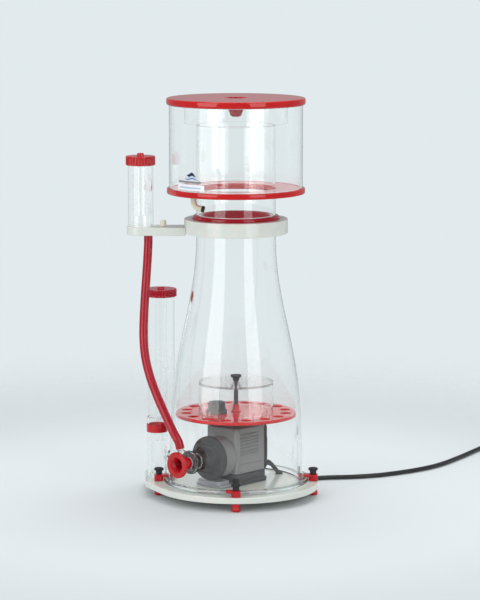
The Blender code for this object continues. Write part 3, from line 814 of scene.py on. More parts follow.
@dataclass
class Base:
    """White base plate with its feet, turn clips and thumb screws."""

    bench: Bench
    plate_edge: float = 0.0012
    lobe_near: tuple[float, float, float] = (-0.1165, 0.0, 0.020)
    lobe_far: tuple[float, float, float] = (-0.1165, 0.0705, 0.023)
    circle: float = 0.1160
    screw_radius: float = 0.0028
    clip_boss: float = 0.0070
    clip_reach: float = 0.0150
    clip_gap: float = 0.0159
    clip_top: float = 0.0317

    def outline(self) -> Array:
        """The plate's outline: a disc and two lobes, with straight tangents between them.

        A direction's support point is the disc centre plus its radius along the direction, taken from
        whichever disc reaches furthest that way.

        Returns:
            (360, 2) points.
        """
        radius = Site.of("base_foot_right").x - COLUMN_X + 0.0075
        discs = np.array([(0.0, 0.0, radius), self.lobe_near, self.lobe_far])
        angle = np.linspace(0, 2 * np.pi, 1440, endpoint=False)
        direction = np.stack([np.cos(angle), np.sin(angle)], axis=1)
        reach = direction @ discs[:, :2].T + discs[None, :, 2]
        best = discs[reach.argmax(axis=1)]
        hull = best[:, :2] + best[:, 2:] * direction
        return even(np.vstack([hull, hull[:1]]), 361)[:-1]

    def build(self, tunnel: Surface) -> None:
        """Makes the plate, cut by the cord's tunnel, and what stands on it.

        Args:
            tunnel: the shell that the cord passes through.
        """
        lowest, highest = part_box("base_plate")
        plate = slab(self.outline(), lowest.z, highest.z, self.plate_edge, 5).moved(COLUMN_X)
        self.bench.place("base_board", plate, Finish.WHITE_SHEET, "base_plate", cut=tunnel)
        self.bench.dress(Finish.SEAL, "base_seal")
        turns = {"right": 0.0, "back": 90.0, "left": 180.0, "front": 270.0}
        for side, angle in turns.items():
            self.build_corner(side, math.radians(angle), math.radians(90.0 if side == "front" else 0.0))

    def build_corner(self, side: str, angle: float, opened: float) -> None:
        """Makes one foot, one clip and one thumb screw.

        Args:
            side: which side of the base.
            angle: where on the circle they stand.
            opened: how far the clip is turned at rest.
        """
        foot = Site.of(f"base_foot_{side}")
        knob = turned([(0, 0), (0.0056, 0), (0.0070, 0.0014), (0.0070, 0.0040), (0.0064, 0.0052),
                       (0.0064, foot.high), (0, foot.high)], 80, soft=0.0007,
                      flutes=Flutes(10, 0.0004, 0.0052, 0.0125))
        self.bench.place(f"foot_{side}", foot.set(knob), Finish.RED_MOULDED, f"base_foot_{side}")
        screw = Site.of(f"thumb_screw_{side}")
        shank = self.screw_radius
        head = turned([(0, 0.0060), (shank, 0.0060), (shank, 0.0320), (0.0048, 0.0322), (0.0048, 0.0368),
                       (0.0068, 0.0380), (0.0072, 0.0388), (0.0072, 0.0404),
                       (0.0062, screw.high), (0.0030, screw.high), (0.0026, screw.high - 0.0008),
                       (0, screw.high - 0.0008)], 120, soft=0.0004, flutes=Flutes(20, 0.0004, 0.0376, 0.0412))
        self.bench.place(f"screw_{side}", screw.set(head), Finish.BLACK_NYLON, f"thumb_screw_{side}")
        low, step, boss = screw.low + self.clip_gap, Site.of("body_flange").high + GAP, self.clip_boss
        bar = slab(round_rectangle(-self.clip_reach, boss, -boss, boss, 0.0035), step, self.clip_top, 0.0009)
        half = np.linspace(np.pi / 2, -np.pi / 2, 13)
        back = np.stack([-boss * np.cos(half), boss * np.sin(half)], axis=1)
        front = softened([(0.0, -boss), (boss, -boss), (boss, boss), (0.0, boss)], 0.0035, False, 6)
        lower = slab(np.vstack([front, back[1:-1]]), low, step + 0.0006, 0.0006)
        clip = (bar + lower).turned_by(angle + opened).moved(screw.x, screw.y)
        self.bench.place(f"turn_clip_{side}", clip, Finish.RED_MOULDED, f"clip_{side}")


# ---------------------------------------------------------------- column


@dataclass
class Column:
    """Clear bottle-shaped column with its foot ring and neck collar."""

    bench: Bench
    wall: float = 0.0035
    neck: float = 0.0590
    belly: float = 0.0997
    taper_top: float = 0.400
    taper_bottom: float = 0.045
    share: float = 0.5
    power: float = 2.3
    rows: int = 84
    seat: float = 0.0646

    def radius(self, height: Array) -> Array:
        """Neck + (belly - neck) x (1 - exp(-(s / share)^power)), with s the way down the taper, 0 to 1.

        Args:
            height: heights.

        Returns:
            The outer radius at each height.
        """
        s = np.maximum(0.0, (self.taper_top - height) / (self.taper_top - self.taper_bottom))
        return self.neck + (self.belly - self.neck) * (1 - np.exp(-(s / self.share) ** self.power))

    def build(self) -> None:
        """Makes the wall with its two ports, the flange ring and the collar."""
        site = Site.of("body_shell")
        height = np.linspace(site.low, site.high, self.rows)
        outside = np.stack([self.radius(height), height], axis=1)
        inside = outside[::-1] - np.array([self.wall, 0.0])
        wall = turned(np.vstack([outside, inside]), FINE, True, 0.0004, steps=2).moved(COLUMN_X)
        intake = rod(WATER_PORT, 0.070, 0.130, 64).along_pump()
        bearing = math.atan2(Site.of("standpipe").y, Site.of("standpipe").x - COLUMN_X)
        branch = laid_rod(BRANCH_BORE, 0.080, 0.130, bearing)
        self.bench.place("column_wall", wall, Finish.CLEAR, "body_shell", cut=intake + branch, crease=40)
        flange = Site.of("body_flange")
        inner = float(self.radius(np.array([flange.low]))[0]) + GAP
        ring = pipe(flange.radius, inner, flange.low, flange.high, FINE, 0.0009).moved(COLUMN_X)
        self.bench.place("column_foot_ring", ring, Finish.CLEAR, "body_flange")
        collar = Site.of("body_collar")
        ledge, bore = site.high + GAP, self.neck + GAP
        profile = [(collar.radius, collar.low), (collar.radius, collar.high), (self.seat, collar.high),
                   (self.seat, ledge), (bore, ledge), (bore, collar.low)]
        shape = turned(profile, FINE, True, 0.0012, steps=5).moved(COLUMN_X)
        self.bench.place("neck_collar", shape, Finish.WHITE_SHEET, "body_collar")


def laid_rod(radius: float, near: float, far: float, bearing: float, inner: float = 0.0) -> Surface:
    """A rod or, with an inner radius, a tube, laid flat at the branch's height along a bearing.

    Args:
        radius: its radius.
        near: distance from the column to its near end.
        far: distance to its far end.
        bearing: the way it points, in radians.
        inner: radius of its bore, or 0 for a solid rod.

    Returns:
        The laid rod or tube.
    """
    shape = pipe(radius, inner, near, far, SMALL) if inner else rod(radius, near, far, SMALL)
    return shape.laid().turned_by(bearing).moved(COLUMN_X, 0.0, BRANCH_HEIGHT)


# ---------------------------------------------------------------- overflow


@dataclass
class Overflow:
    """Standpipe with its gate, and the outlet tube beside it."""

    bench: Bench
    pipe_wall: float = 0.003
    gate_wall: float = 0.0020
    outlet_wall: float = 0.0022

    def build(self) -> None:
        """Makes the standpipe, the branch into it, the turning gate, the outlet and its ring."""
        pipe_site = Site.of("standpipe")
        bearing = math.atan2(pipe_site.y, pipe_site.x - COLUMN_X)
        distance = math.hypot(pipe_site.y, pipe_site.x - COLUMN_X)
        bore = laid_rod(BRANCH_BORE, 0.080, distance, bearing)
        wall = pipe_site.tube(self.pipe_wall)
        self.bench.place("overflow_pipe", wall, Finish.CLEAR, "standpipe", cut=bore)
        branch = laid_rod(0.0110, 0.1005, distance - pipe_site.radius - 0.0002, bearing, BRANCH_BORE)
        self.bench.place("overflow_branch", branch, Finish.CLEAR, "outlet_branch")
        inner = Site.of("gate_pipe").tube(self.gate_wall, 64)
        self.bench.place("gate_inner_pipe", inner, Finish.CLEAR, "gate_pipe")
        knob = Site.of("gate_knob")
        self.bench.place("gate_cap", fluted_cap(knob, 0.3040, 0.0058), Finish.CRIMSON, "gate_knob")
        outlet = Site.of("outlet_tube")
        clear = outlet.tube(self.outlet_wall, MEDIUM, 0.0006)
        self.bench.place("outlet_pipe", clear, Finish.CLEAR, "outlet_tube")
        ring = Site.of("outlet_ring")
        band = ring.set(pipe(ring.radius, outlet.radius + GAP, ring.low, ring.high, MEDIUM, 0.0006))
        self.bench.place("outlet_band", band, Finish.RED_MOULDED, "outlet_ring")


def fluted_cap(site: Site, shoulder: float, nub: float) -> Surface:
    """A turned cap with finger flutes and a small nub on top.

    Args:
        site: the cap's place and size.
        shoulder: the height of its flat top.
        nub: the nub's radius.

    Returns:
        The cap.
    """
    rim = site.radius
    profile = [(0, site.low), (rim - 0.0006, site.low), (rim, site.low + 0.0006), (rim, shoulder - 0.0008),
               (rim - 0.0008, shoulder), (nub + 0.0012, shoulder), (nub, shoulder + 0.0004),
               (nub - 0.0006, site.high - 0.0004), (nub - 0.0012, site.high), (0, site.high)]
    flutes = Flutes(22, 0.0008, site.low + 0.0012, shoulder - 0.0016)
    return site.set(turned(profile, 264, soft=0.0004, flutes=flutes))


# ---------------------------------------------------------------- silencer


@dataclass
class Silencer:
    """Air silencer on its bracket, and the hose down to the venturi."""

    bench: Bench
    bracket_end: float = 0.0210
    bore: float = 0.0030
    tube_wall: float = 0.0027
    inlet_wall: float = 0.0018

    def bracket(self) -> Surface:
        """A round-ended plate that reaches to the collar's curve, with an upright block against the collar.

        Returns:
            The bracket.
        """
        lowest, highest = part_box("silencer_bracket")
        tube = Site.of("silencer_tube")
        top = tube.low - GAP
        centre = tube.x - COLUMN_X
        arc = np.linspace(np.pi / 2, 3 * np.pi / 2, 33)
        left = np.stack([centre + self.bracket_end * np.cos(arc), self.bracket_end * np.sin(arc)], axis=1)
        edge = Site.of("body_collar").radius + GAP
        sweep = math.asin(self.bracket_end / edge) * np.linspace(-1, 1, 17)
        right = np.stack([-edge * np.cos(sweep), edge * np.sin(sweep)], axis=1)
        outline = np.vstack([left, right])
        block = round_rectangle(-0.0880, -0.0790, -0.0120, 0.0120, 0.0020)
        shape = slab(outline, lowest.z, top, 0.0010) + slab(block, lowest.z + 0.001, highest.z, 0.0010)
        return shape.moved(COLUMN_X)

    def build(self) -> bpy.types.Object:
        """Makes the bracket, the silencer and the hose.

        Returns:
            The hose.
        """
        start = HOSE_ROUTE[0]
        hole = rod(self.bore, 0.38, 0.42, 32).moved(start[0] + COLUMN_X, start[1])
        self.bench.place("bracket_arm", self.bracket(), Finish.WHITE_SHEET, "silencer_bracket", cut=hole)
        screw = Site.of("bracket_screw")
        head = turned([(0, screw.low), (screw.radius, screw.low), (screw.radius, screw.high - 0.0016),
                       (screw.radius - 0.0009, screw.high), (0, screw.high)], 48, soft=0.0005)
        slot = slab(round_rectangle(-0.0006, 0.0006, -0.006, 0.006, 0.0002), screw.high - 0.0014,
                    screw.high + 0.001, 0.0001)
        self.bench.place("bracket_fixing", screw.set(head), Finish.CREAM, "bracket_screw",
                         cut=screw.set(slot.turned_by(0.6)))
        tube = Site.of("silencer_tube").tube(self.tube_wall)
        self.bench.place("silencer_wall", tube, Finish.CLEAR, "silencer_tube")
        inlet = Site.of("silencer_inlet_pipe").tube(self.inlet_wall, 64)
        self.bench.place("silencer_inner_pipe", inlet, Finish.CLEAR, "silencer_inlet_pipe")
        cap = Site.of("silencer_cap")
        self.bench.place("silencer_lid", fluted_cap(cap, 0.5118, 0.0054), Finish.RED_MOULDED, "silencer_cap")
        return self.hose()

    def hose(self) -> bpy.types.Object:
        """Makes the air hose as a tube swept along its route.

        Returns:
            The hose.
        """
        path = smooth_route(np.array(HOSE_ROUTE) + ON_COLUMN, 0.003)
        tube = swept(path, HOSE_RADIUS, 32, (0.0, 1.0, 0.0))
        hose = self.bench.place("silicone_hose", tube, Finish.HOSE, "air_hose")
        return hose


# ---------------------------------------------------------------- cup and lid


@dataclass
class Cup:
    """Collection cup: clear wall, red floor, clear riser, crimson neck ring, drain and label."""

    bench: Bench
    wall: float = 0.003
    label_middle: float = -43.0
    label_half: float = 15.5
    label_lift: float = 0.0001
    rule_lift: float = 0.0003

    def build(self) -> None:
        """Makes every piece of the cup."""
        wall = Site.of("cup_wall")
        floor = Site.of("cup_floor")
        riser = Site.of("neck_tube")
        self.bench.place("cup_clear_wall", wall.tube(self.wall, FINE), Finish.CLEAR, "cup_wall")
        disc = floor.set(pipe(floor.radius, riser.radius + GAP, floor.low, floor.high, FINE, 0.0022))
        self.bench.place("cup_red_floor", disc, Finish.RED_SHEET, "cup_floor")
        self.bench.place("cup_riser", riser.tube(self.wall, FINE), Finish.CLEAR, "neck_tube")
        rim, seal = Site.of("neck_flange"), Site.of("neck_seal")
        spigot, groove, bore, round_over = 0.0548, 0.0532, 0.0510, 0.0026
        shoulder, seat = rim.high - 0.0073, riser.radius + 0.0004
        profile = [(rim.radius, shoulder), (rim.radius, rim.high - round_over),
                   (rim.radius - 0.0008, rim.high - 0.0008), (rim.radius - round_over, rim.high - 0.0001),
                   (seat, rim.high), (bore + 0.0012, rim.high), (bore, rim.high - 0.0012), (bore, rim.low),
                   (spigot, rim.low), (spigot, seal.low - 0.0008), (groove, seal.low - GAP),
                   (groove, seal.high + GAP), (spigot, seal.high + 0.0008), (spigot, shoulder)]
        ring = rim.set(turned(profile, FINE, True, 0.0008))
        self.bench.place("cup_neck_ring", ring, Finish.CRIMSON, "neck_flange")
        self.bench.dress(Finish.SEAL, "neck_seal")
        self.drain()
        self.label(wall)

    def drain(self) -> None:
        """Makes the drain elbow, a ridged barb at its end and the dark plug in it."""
        knots = np.array([(-0.0620, -0.0520, 0.4562), (-0.0620, -0.0520, 0.4500), (-0.0605, -0.0525, 0.4440),
                          (-0.0560, -0.0535, 0.4405), (-0.0505, -0.0540, 0.4390)])
        path = smooth_route(knots + ON_COLUMN, 0.0006)
        along = np.linspace(0, 1, len(path))
        bead, lip = np.exp(-((along - 0.12) / 0.05) ** 2), np.exp(-((along - 0.9) / 0.06) ** 2)
        radius = 0.0040 + 0.0006 * bead + 0.0005 * lip
        self.bench.place("cup_drain", swept(path, radius, 28, (0.0, 1.0, 0.0)), Finish.CREAM, "drain_elbow")
        heading = (path[-1] - path[-2]) / np.linalg.norm(path[-1] - path[-2])
        plug = path[-1] + heading * np.linspace(0.0002, 0.0048, 9)[:, None]
        bulge = np.array([0.0038, 0.0046, 0.0048, 0.0048, 0.0047, 0.0048, 0.0048, 0.0044, 0.0034])
        self.bench.place("drain_plug", swept(plug, bulge, 28, (0.0, 1.0, 0.0)), Finish.SEAL, on="cup")

    def patch(self, site: Site, rows: tuple[Array, Array], angle: Array, lift: float) -> Surface:
        """A thin curved sheet on the cup's wall: x = R sin a, y = -R cos a, between two lines.

        Args:
            site: the cup wall's place.
            rows: heights of the lower and the upper edge at each angle.
            angle: angles from the front, in degrees.
            lift: how far the sheet stands off the wall.

        Returns:
            The closed sheet.
        """
        turn = np.radians(angle)
        thickness = 0.00012
        ring = []
        outer = lift + thickness
        for reach, height in ((lift, rows[0]), (lift, rows[1]), (outer, rows[1]), (outer, rows[0])):
            radius = site.radius + reach
            ring.append(np.stack([radius * np.sin(turn), -radius * np.cos(turn), height], axis=1))
        shell = np.stack(ring, axis=1)
        ends = [np.broadcast_to(shell[end].mean(axis=0), (1, 4, 3)) for end in (0, -1)]
        points = np.concatenate([ends[0], shell, ends[1]])
        return site.set(Surface(points.reshape(-1, 3), grid_faces(len(points), 4)))

    def label(self, site: Site) -> None:
        """Makes a plain label: a pale panel with a grey bar, and over it a round crest on two wave strokes.

        Args:
            site: the cup wall's place.
        """
        span = np.linspace(-1, 1, 61)
        flat = np.ones_like(span)
        hump = (1 - span ** 2) ** 0.5
        wave = 0.0009 * np.sin(1.4 * np.pi * span + 0.6)
        strokes = (
            ("label_panel", Finish.LABEL_WHITE, 0.0, self.label_half, 0.4675 * flat, 0.4762 * flat),
            ("label_bar", Finish.LABEL_GREY, -1.0, 13.0, 0.4785 * flat, 0.4815 * flat),
            ("label_rule", Finish.LABEL_PALE, 0.0, 12.0, 0.4706 * flat, 0.4728 * flat),
            ("label_wave_low", Finish.LABEL_BLUE, 1.5, 7.5, 0.4846 + wave - 0.0009 * hump,
             0.4846 + wave + 0.0010 * hump),
            ("label_wave_high", Finish.LABEL_PALE, 1.0, 6.5, 0.4870 + wave - 0.0006 * hump,
             0.4870 + wave + 0.0007 * hump),
            ("label_crest", Finish.LABEL_NAVY, 2.0, 5.0, 0.4885 + wave, 0.4887 + wave + 0.0048 * hump ** 1.6))
        for name, finish, aside, reach, low, high in strokes:
            lift = self.rule_lift if name == "label_rule" else self.label_lift
            sheet = self.patch(site, (low, high), self.label_middle + aside + reach * span, lift)
            self.bench.place(name, sheet, finish, on="cup")


@dataclass
class Lid:
    """Red lid with its clear skirt and sunk finger cup."""

    bench: Bench
    bore: float = 0.0153
    skirt_wall: float = 0.0025

    def build(self) -> None:
        """Makes the plate, the skirt and the finger cup."""
        plate = Site.of("lid_plate")
        disc = pipe(plate.radius, self.bore, plate.low, plate.high, FINE, 0.0030)
        self.bench.place("lid_disc", plate.set(disc), Finish.RED_SHEET, "lid_plate", crease=40)
        skirt = Site.of("lid_skirt").tube(self.skirt_wall, FINE)
        self.bench.place("lid_clear_skirt", skirt, Finish.CLEAR, "lid_skirt")
        cup = Site.of("lid_grip_cup")
        rim, bottom = cup.radius, cup.low
        inside = rim - 0.0022
        profile = [(0, bottom), (0.0056, bottom), (0.0080, bottom + 0.0016), (rim - 0.0006, plate.low),
                   (rim, plate.low + 0.0006), (rim, cup.high), (inside, cup.high), (inside, plate.low),
                   (0.0058, bottom + 0.0028), (0, bottom + 0.0026)]
        self.bench.place("lid_finger_cup", cup.set(turned(profile, MEDIUM, soft=0.0008)), Finish.CRIMSON,
                         "lid_grip_cup")


# ---------------------------------------------------------------- pump


@dataclass
class Pump:
    """Needle-wheel pump: ribbed grey housing, stepped black volute, foot, intake union and venturi."""

    bench: Bench
    half_length: float = 0.0330
    half_width: float = 0.0305
    low: float = 0.0390
    high: float = 0.1080
    rib_low: float = 0.0660
    rib_pitch: float = 0.0050
    rib_count: int = 7
    rib_depth: float = 0.0024
    seam_at: float = 0.0282

    def housing(self) -> Surface:
        """The motor housing.

        A round rectangle's outline is carried up in rings. Each point moves inwards by the edge's roundness
        at the top and bottom. The two sides also sink by the ribs, rib_depth x
        ((1 - cos(2 pi (z - z0) / pitch)) / 2)^3 inside their window, by a bell-shaped seam near the front and
        by a bell-shaped line low down.

        Returns:
            The housing.
        """
        length, width = self.half_length, self.half_width
        outline = round_rectangle(-length, length, -width, width, 0.005, 320)
        outward = outward_of(outline)
        heights = np.linspace(self.low, self.high, 140)
        x, z = outline[None, :, 0], heights[:, None]
        on_side = (np.abs(outward[:, 1]) > 0.96)[None, :]
        edge = 0.0022
        from_end = np.minimum(z - self.low, self.high - z)
        lip = edge - np.sqrt(np.maximum(0.0, edge ** 2 - np.maximum(0.0, edge - from_end) ** 2))
        top = self.rib_low + self.rib_pitch * self.rib_count
        window = np.clip((x + 0.0170) / 0.002, 0, 1) * np.clip((0.0245 - x) / 0.002, 0, 1)
        band = (z > self.rib_low) & (z < top)
        wave = ((1 - np.cos(2 * np.pi * (z - self.rib_low) / self.rib_pitch)) / 2) ** 3
        ribs = self.rib_depth * wave * window * band
        seam = 0.0010 * np.exp(-((x - self.seam_at) / 0.0009) ** 2)
        line = 0.0011 * np.exp(-((z - 0.0535) / 0.0008) ** 2) * np.clip((0.024 - x) / 0.001, 0, 1)
        depth = lip + on_side * (ribs + seam + line)
        rings = outline[None] - depth[..., None] * outward[None]
        return stacked(rings, heights, np.zeros(2)).beside_pump()

    def rear_cover(self) -> Surface:
        """The black cover that closes the motor at the back, a shade larger than the housing.

        Returns:
            The cover.
        """
        up, down = self.high + 0.0006 - PUMP_HEIGHT, PUMP_HEIGHT - self.low + 0.0002
        plate = round_rectangle(-up, down, -self.half_width - 0.0006, self.half_width + 0.0006, 0.006)
        width = self.half_width + 0.0016
        rib = round_rectangle(-up + 0.014, down - 0.010, -width, width, 0.008)
        return (slab(plate, -0.0356, -0.0331, 0.0007) + slab(rib, -0.0352, -0.0336, 0.0006)).along_pump()

    def foot(self) -> Surface:
        """The rubber foot: a wide plate, a narrower saddle on it and buttons along both sides.

        Returns:
            The foot.
        """
        lowest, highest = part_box("pump_foot")
        plate = slab(round_rectangle(-0.0360, 0.0328, -0.0330, 0.0330, 0.006), lowest.z, 0.0285, 0.0014)
        saddle = slab(round_rectangle(-0.0340, 0.0322, -0.0312, 0.0312, 0.006), 0.0275, highest.z, 0.0016)
        buttons = many(turned([(0, 0.0275), (0.0042, 0.0275), (0.0036, 0.0325), (0, 0.0325)], 24, soft=0.001),
                       np.array([(x, y, 0.0) for x in (-0.026, 0.0, 0.024) for y in (-0.0285, 0.0285)]))
        return (plate + saddle + buttons).beside_pump()

    def stand(self) -> Surface:
        """The grey stand under the volute: a foot plate and a block on it.

        Returns:
            The stand.
        """
        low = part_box("pump_foot")[0].z + GAP
        plate = slab(round_rectangle(0.0333, 0.0610, -0.0260, 0.0260, 0.003), low, 0.0262, 0.0010)
        block = slab(round_rectangle(0.0360, 0.0600, -0.0235, 0.0200, 0.003), 0.0255, 0.0312, 0.0010)
        return (plate + block).beside_pump()

    def volute(self) -> Surface:
        """The volute: a ringed black front over the wheel's chamber, with its nose, as one turned wall.

        Returns:
            The volute.
        """
        profile = [(0.0278, 0.0538), (0.0312, 0.0538), (0.0330, 0.0556), (0.0330, 0.0580), (0.0321, 0.0586),
                   (0.0321, 0.0596), (0.0328, 0.0602), (0.0326, 0.0612), (0.0312, 0.0624), (0.0272, 0.0628),
                   (0.0266, 0.0641), (0.0225, 0.0645), (0.0218, 0.0631), (0.0190, 0.0636), (0.0165, 0.0650),
                   (0.0150, 0.0720), (0.0154, 0.0728), (0.0154, 0.0748), (0.0143, 0.0756), (0.0130, 0.0860),
                   (0.0095, 0.0860), (0.0095, 0.0585), (0.0278, 0.0570)]
        return turned(profile, 144, True, 0.0005).along_pump()

    def front_cap(self) -> Surface:
        """The motor's round grey front, round the wheel's chamber.

        Returns:
            The front cap.
        """
        face = self.half_length + GAP
        profile = [(0.0280, face), (0.0303, face), (0.0305, face + 0.0020), (0.0305, 0.0515),
                   (0.0298, 0.0530), (0.0290, 0.0536), (0.0280, 0.0536)]
        return turned(profile, 144, True, 0.0008).along_pump()

    def build(self) -> None:
        """Makes every piece of the pump."""
        self.bench.place("motor_housing", self.housing(), Finish.PUMP_GREY, "pump_housing",
                         cut=rod(WATER_PORT, -0.0290, 0.040, 48).along_pump(), crease=50)
        self.bench.place("motor_rear_cover", self.rear_cover(), Finish.PUMP_BLACK, on="base")
        self.bench.place("motor_foot", self.foot(), Finish.PUMP_BLACK, "pump_foot")
        self.bench.place("volute_case", self.volute(), Finish.PUMP_BLACK, "pump_volute")
        self.bench.place("motor_front_cap", self.front_cap(), Finish.PUMP_GREY, on="base")
        self.bench.place("volute_stand", self.stand(), Finish.STAND_GREY, on="base")
        union = turned([(0.0090, 0.0864), (0.0125, 0.0864), (0.0125, 0.1008), (0.0165, 0.1008),
                        (0.0165, 0.1055), (0.0090, 0.1055)], MEDIUM, True, 0.0008)
        self.bench.place("intake_union", union.along_pump(), Finish.FROSTED, "wall_union")
        washer = pipe(0.0176, 0.0127, 0.0999, 0.1007, 72, 0.0003)
        self.bench.place("intake_washer", washer.along_pump(), Finish.SEAL, on="base")
        throat = [(0.0068, 0.1058), (0.0092, 0.1058), (0.0092, 0.1250), (0.0118, 0.1262), (0.0194, 0.1266),
                  (0.0194, 0.1302), (0.0180, 0.1314), (0.0122, 0.1314), (0.0098, 0.1288), (0.0068, 0.1240)]
        self.bench.place("venturi_bell", turned(throat, MEDIUM, True, 0.0010, steps=6).along_pump(),
                         Finish.RED_MOULDED, "venturi")
        barb = Site.of("venturi_barb")
        spike = turned([(0, 0.0740), (0.0036, 0.0740), (0.0036, barb.high - 0.0060),
                        (0.0030, barb.high - 0.0058), (0.0036, barb.high - 0.0030),
                        (0.0030, barb.high - 0.0028), (0.0034, barb.high), (0, barb.high)], 32, soft=0.0002)
        self.bench.place("hose_barb", barb.set(spike), Finish.CLEAR, "venturi_barb")
        self.discharge()
        self.bench.dress(Finish.SEAL, "shaft_bush_rear", "shaft_bush_front")
        self.bench.dress(Finish.PUMP_BLACK, "rotor_magnet")
        self.bench.dress(Finish.RED_MOULDED, "impeller")
        self.bench.dress(Finish.CREAM, "rotor_shaft")

    def discharge(self) -> None:
        """Makes the upright discharge pipe and its union nut above the red disc."""
        site = Site.of("discharge_pipe")
        self.bench.place("discharge_riser", site.set(pipe(site.radius, 0.0078, site.low, site.high, 64)),
                         Finish.BLACK_NYLON, "discharge_pipe")
        nut = Site.of("union_nut")
        profile = [(RISER_HOLE, nut.low), (nut.radius, nut.low), (nut.radius, 0.1325),
                   (nut.radius - 0.0010, 0.1336), (0.0127, 0.1342), (0.0124, nut.high - 0.0006),
                   (0.0116, nut.high), (RISER_HOLE, nut.high)]
        shape = turned(profile, 160, True, 0.0005, Flutes(16, 0.0005, 0.1350, nut.high - 0.0008))
        self.bench.place("discharge_nut", nut.set(shape), Finish.PUMP_BLACK, "union_nut")


@dataclass
class Bubbler:
    """Red bubble plate and the clear dome over it, held down by a rod and a nut."""

    bench: Bench
    holes: int = 16
    hole_circle: float = 0.0755
    hole_radius: float = 0.0082
    dome_wall: float = 0.0025
    dome_top: float = 0.0030
    pore: float = 0.0014
    slots: int = 20

    def build(self) -> None:
        """Makes the plate, the dome, the rod and the nut."""
        disc = Site.of("bubble_plate")
        pipe_site = Site.of("discharge_pipe")
        angle = np.linspace(0, 2 * np.pi, FINE, endpoint=False)
        outline = disc.radius * np.stack([np.cos(angle), np.sin(angle)], axis=1)
        plate = disc.set(slab(outline, disc.low, disc.high, 0.0012))
        below, above = 0.11, 0.14
        hole = rod(self.hole_radius, below, above, 40)
        tools = disc.set(many(hole, ring_of(self.holes, self.hole_circle, 0.5)))
        tools = tools + pipe_site.set(rod(RISER_HOLE, below, above, 40))
        tools = tools + disc.set(rod(ROD_HOLE, below, above, 32))
        self.bench.place("bubble_disc", plate, Finish.RED_SHEET, "bubble_plate", cut=tools)
        self.dome()
        stem = Site.of("dome_rod")
        shaft = stem.set(rod(stem.radius, stem.low, stem.high))
        self.bench.place("dome_stem", shaft, Finish.BLACK_NYLON, "dome_rod")
        boss = turned([(ROD_HOLE, 0.1280), (0.0078, 0.1280), (0.0072, 0.1296), (0.0050, 0.1312),
                       (0.0047, 0.1390), (ROD_HOLE, 0.1390)], SMALL, True, 0.0006)
        self.bench.place("rod_boss", stem.set(boss), Finish.RED_SHEET, on="base")
        nut = Site.of("dome_knob")
        profile = [(0, nut.low), (0.0048, nut.low), (0.0052, 0.1790), (0.0074, 0.1800), (nut.radius, 0.1808),
                   (nut.radius, 0.1826), (0.0070, nut.high), (0, nut.high)]
        knob = turned(profile, 120, soft=0.0004, flutes=Flutes(20, 0.0004, 0.1796, 0.1836))
        self.bench.place("dome_nut", nut.set(knob), Finish.BLACK_NYLON, "dome_knob")

    def dome(self) -> None:
        """Makes the dome's wall with slots at its foot, and its frosted top with rings of pores."""
        site = Site.of("bubble_dome")
        seat = site.high - self.dome_top
        wall = pipe(site.radius, site.radius - self.dome_wall, site.low, seat, FINE, 0.0003)
        notch = slab(round_rectangle(-0.004, 0.004, -0.0014, 0.0014, 0.001, 24), site.low - 0.002,
                     site.low + 0.006, 0.0004).moved(site.radius)
        angles = 2 * np.pi * (np.arange(self.slots) + 0.5) / self.slots
        gates = notch.turned_by(float(angles[0]))
        for angle in angles[1:]:
            gates = gates + notch.turned_by(float(angle))
        self.bench.place("dome_wall", site.set(wall), Finish.CLEAR, "bubble_dome", cut=site.set(gates))
        top = pipe(site.radius, ROD_HOLE, seat + 0.0001, site.high, FINE, 0.0008)
        rings = np.arange(0.0110, site.radius - 0.0040, 0.0062)
        counts = np.round(2 * np.pi * rings / 0.0066).astype(int)
        places = np.vstack([ring_of(int(count), float(radius), 0.5 * (number % 2))
                            for number, (count, radius) in enumerate(zip(counts, rings))])
        pores = many(rod(self.pore, seat - 0.001, site.high + 0.001, 8, 0.0), places)
        self.bench.place("dome_top", site.set(top), Finish.FROSTED, on="base", cut=site.set(pores))


# ---------------------------------------------------------------- power cord


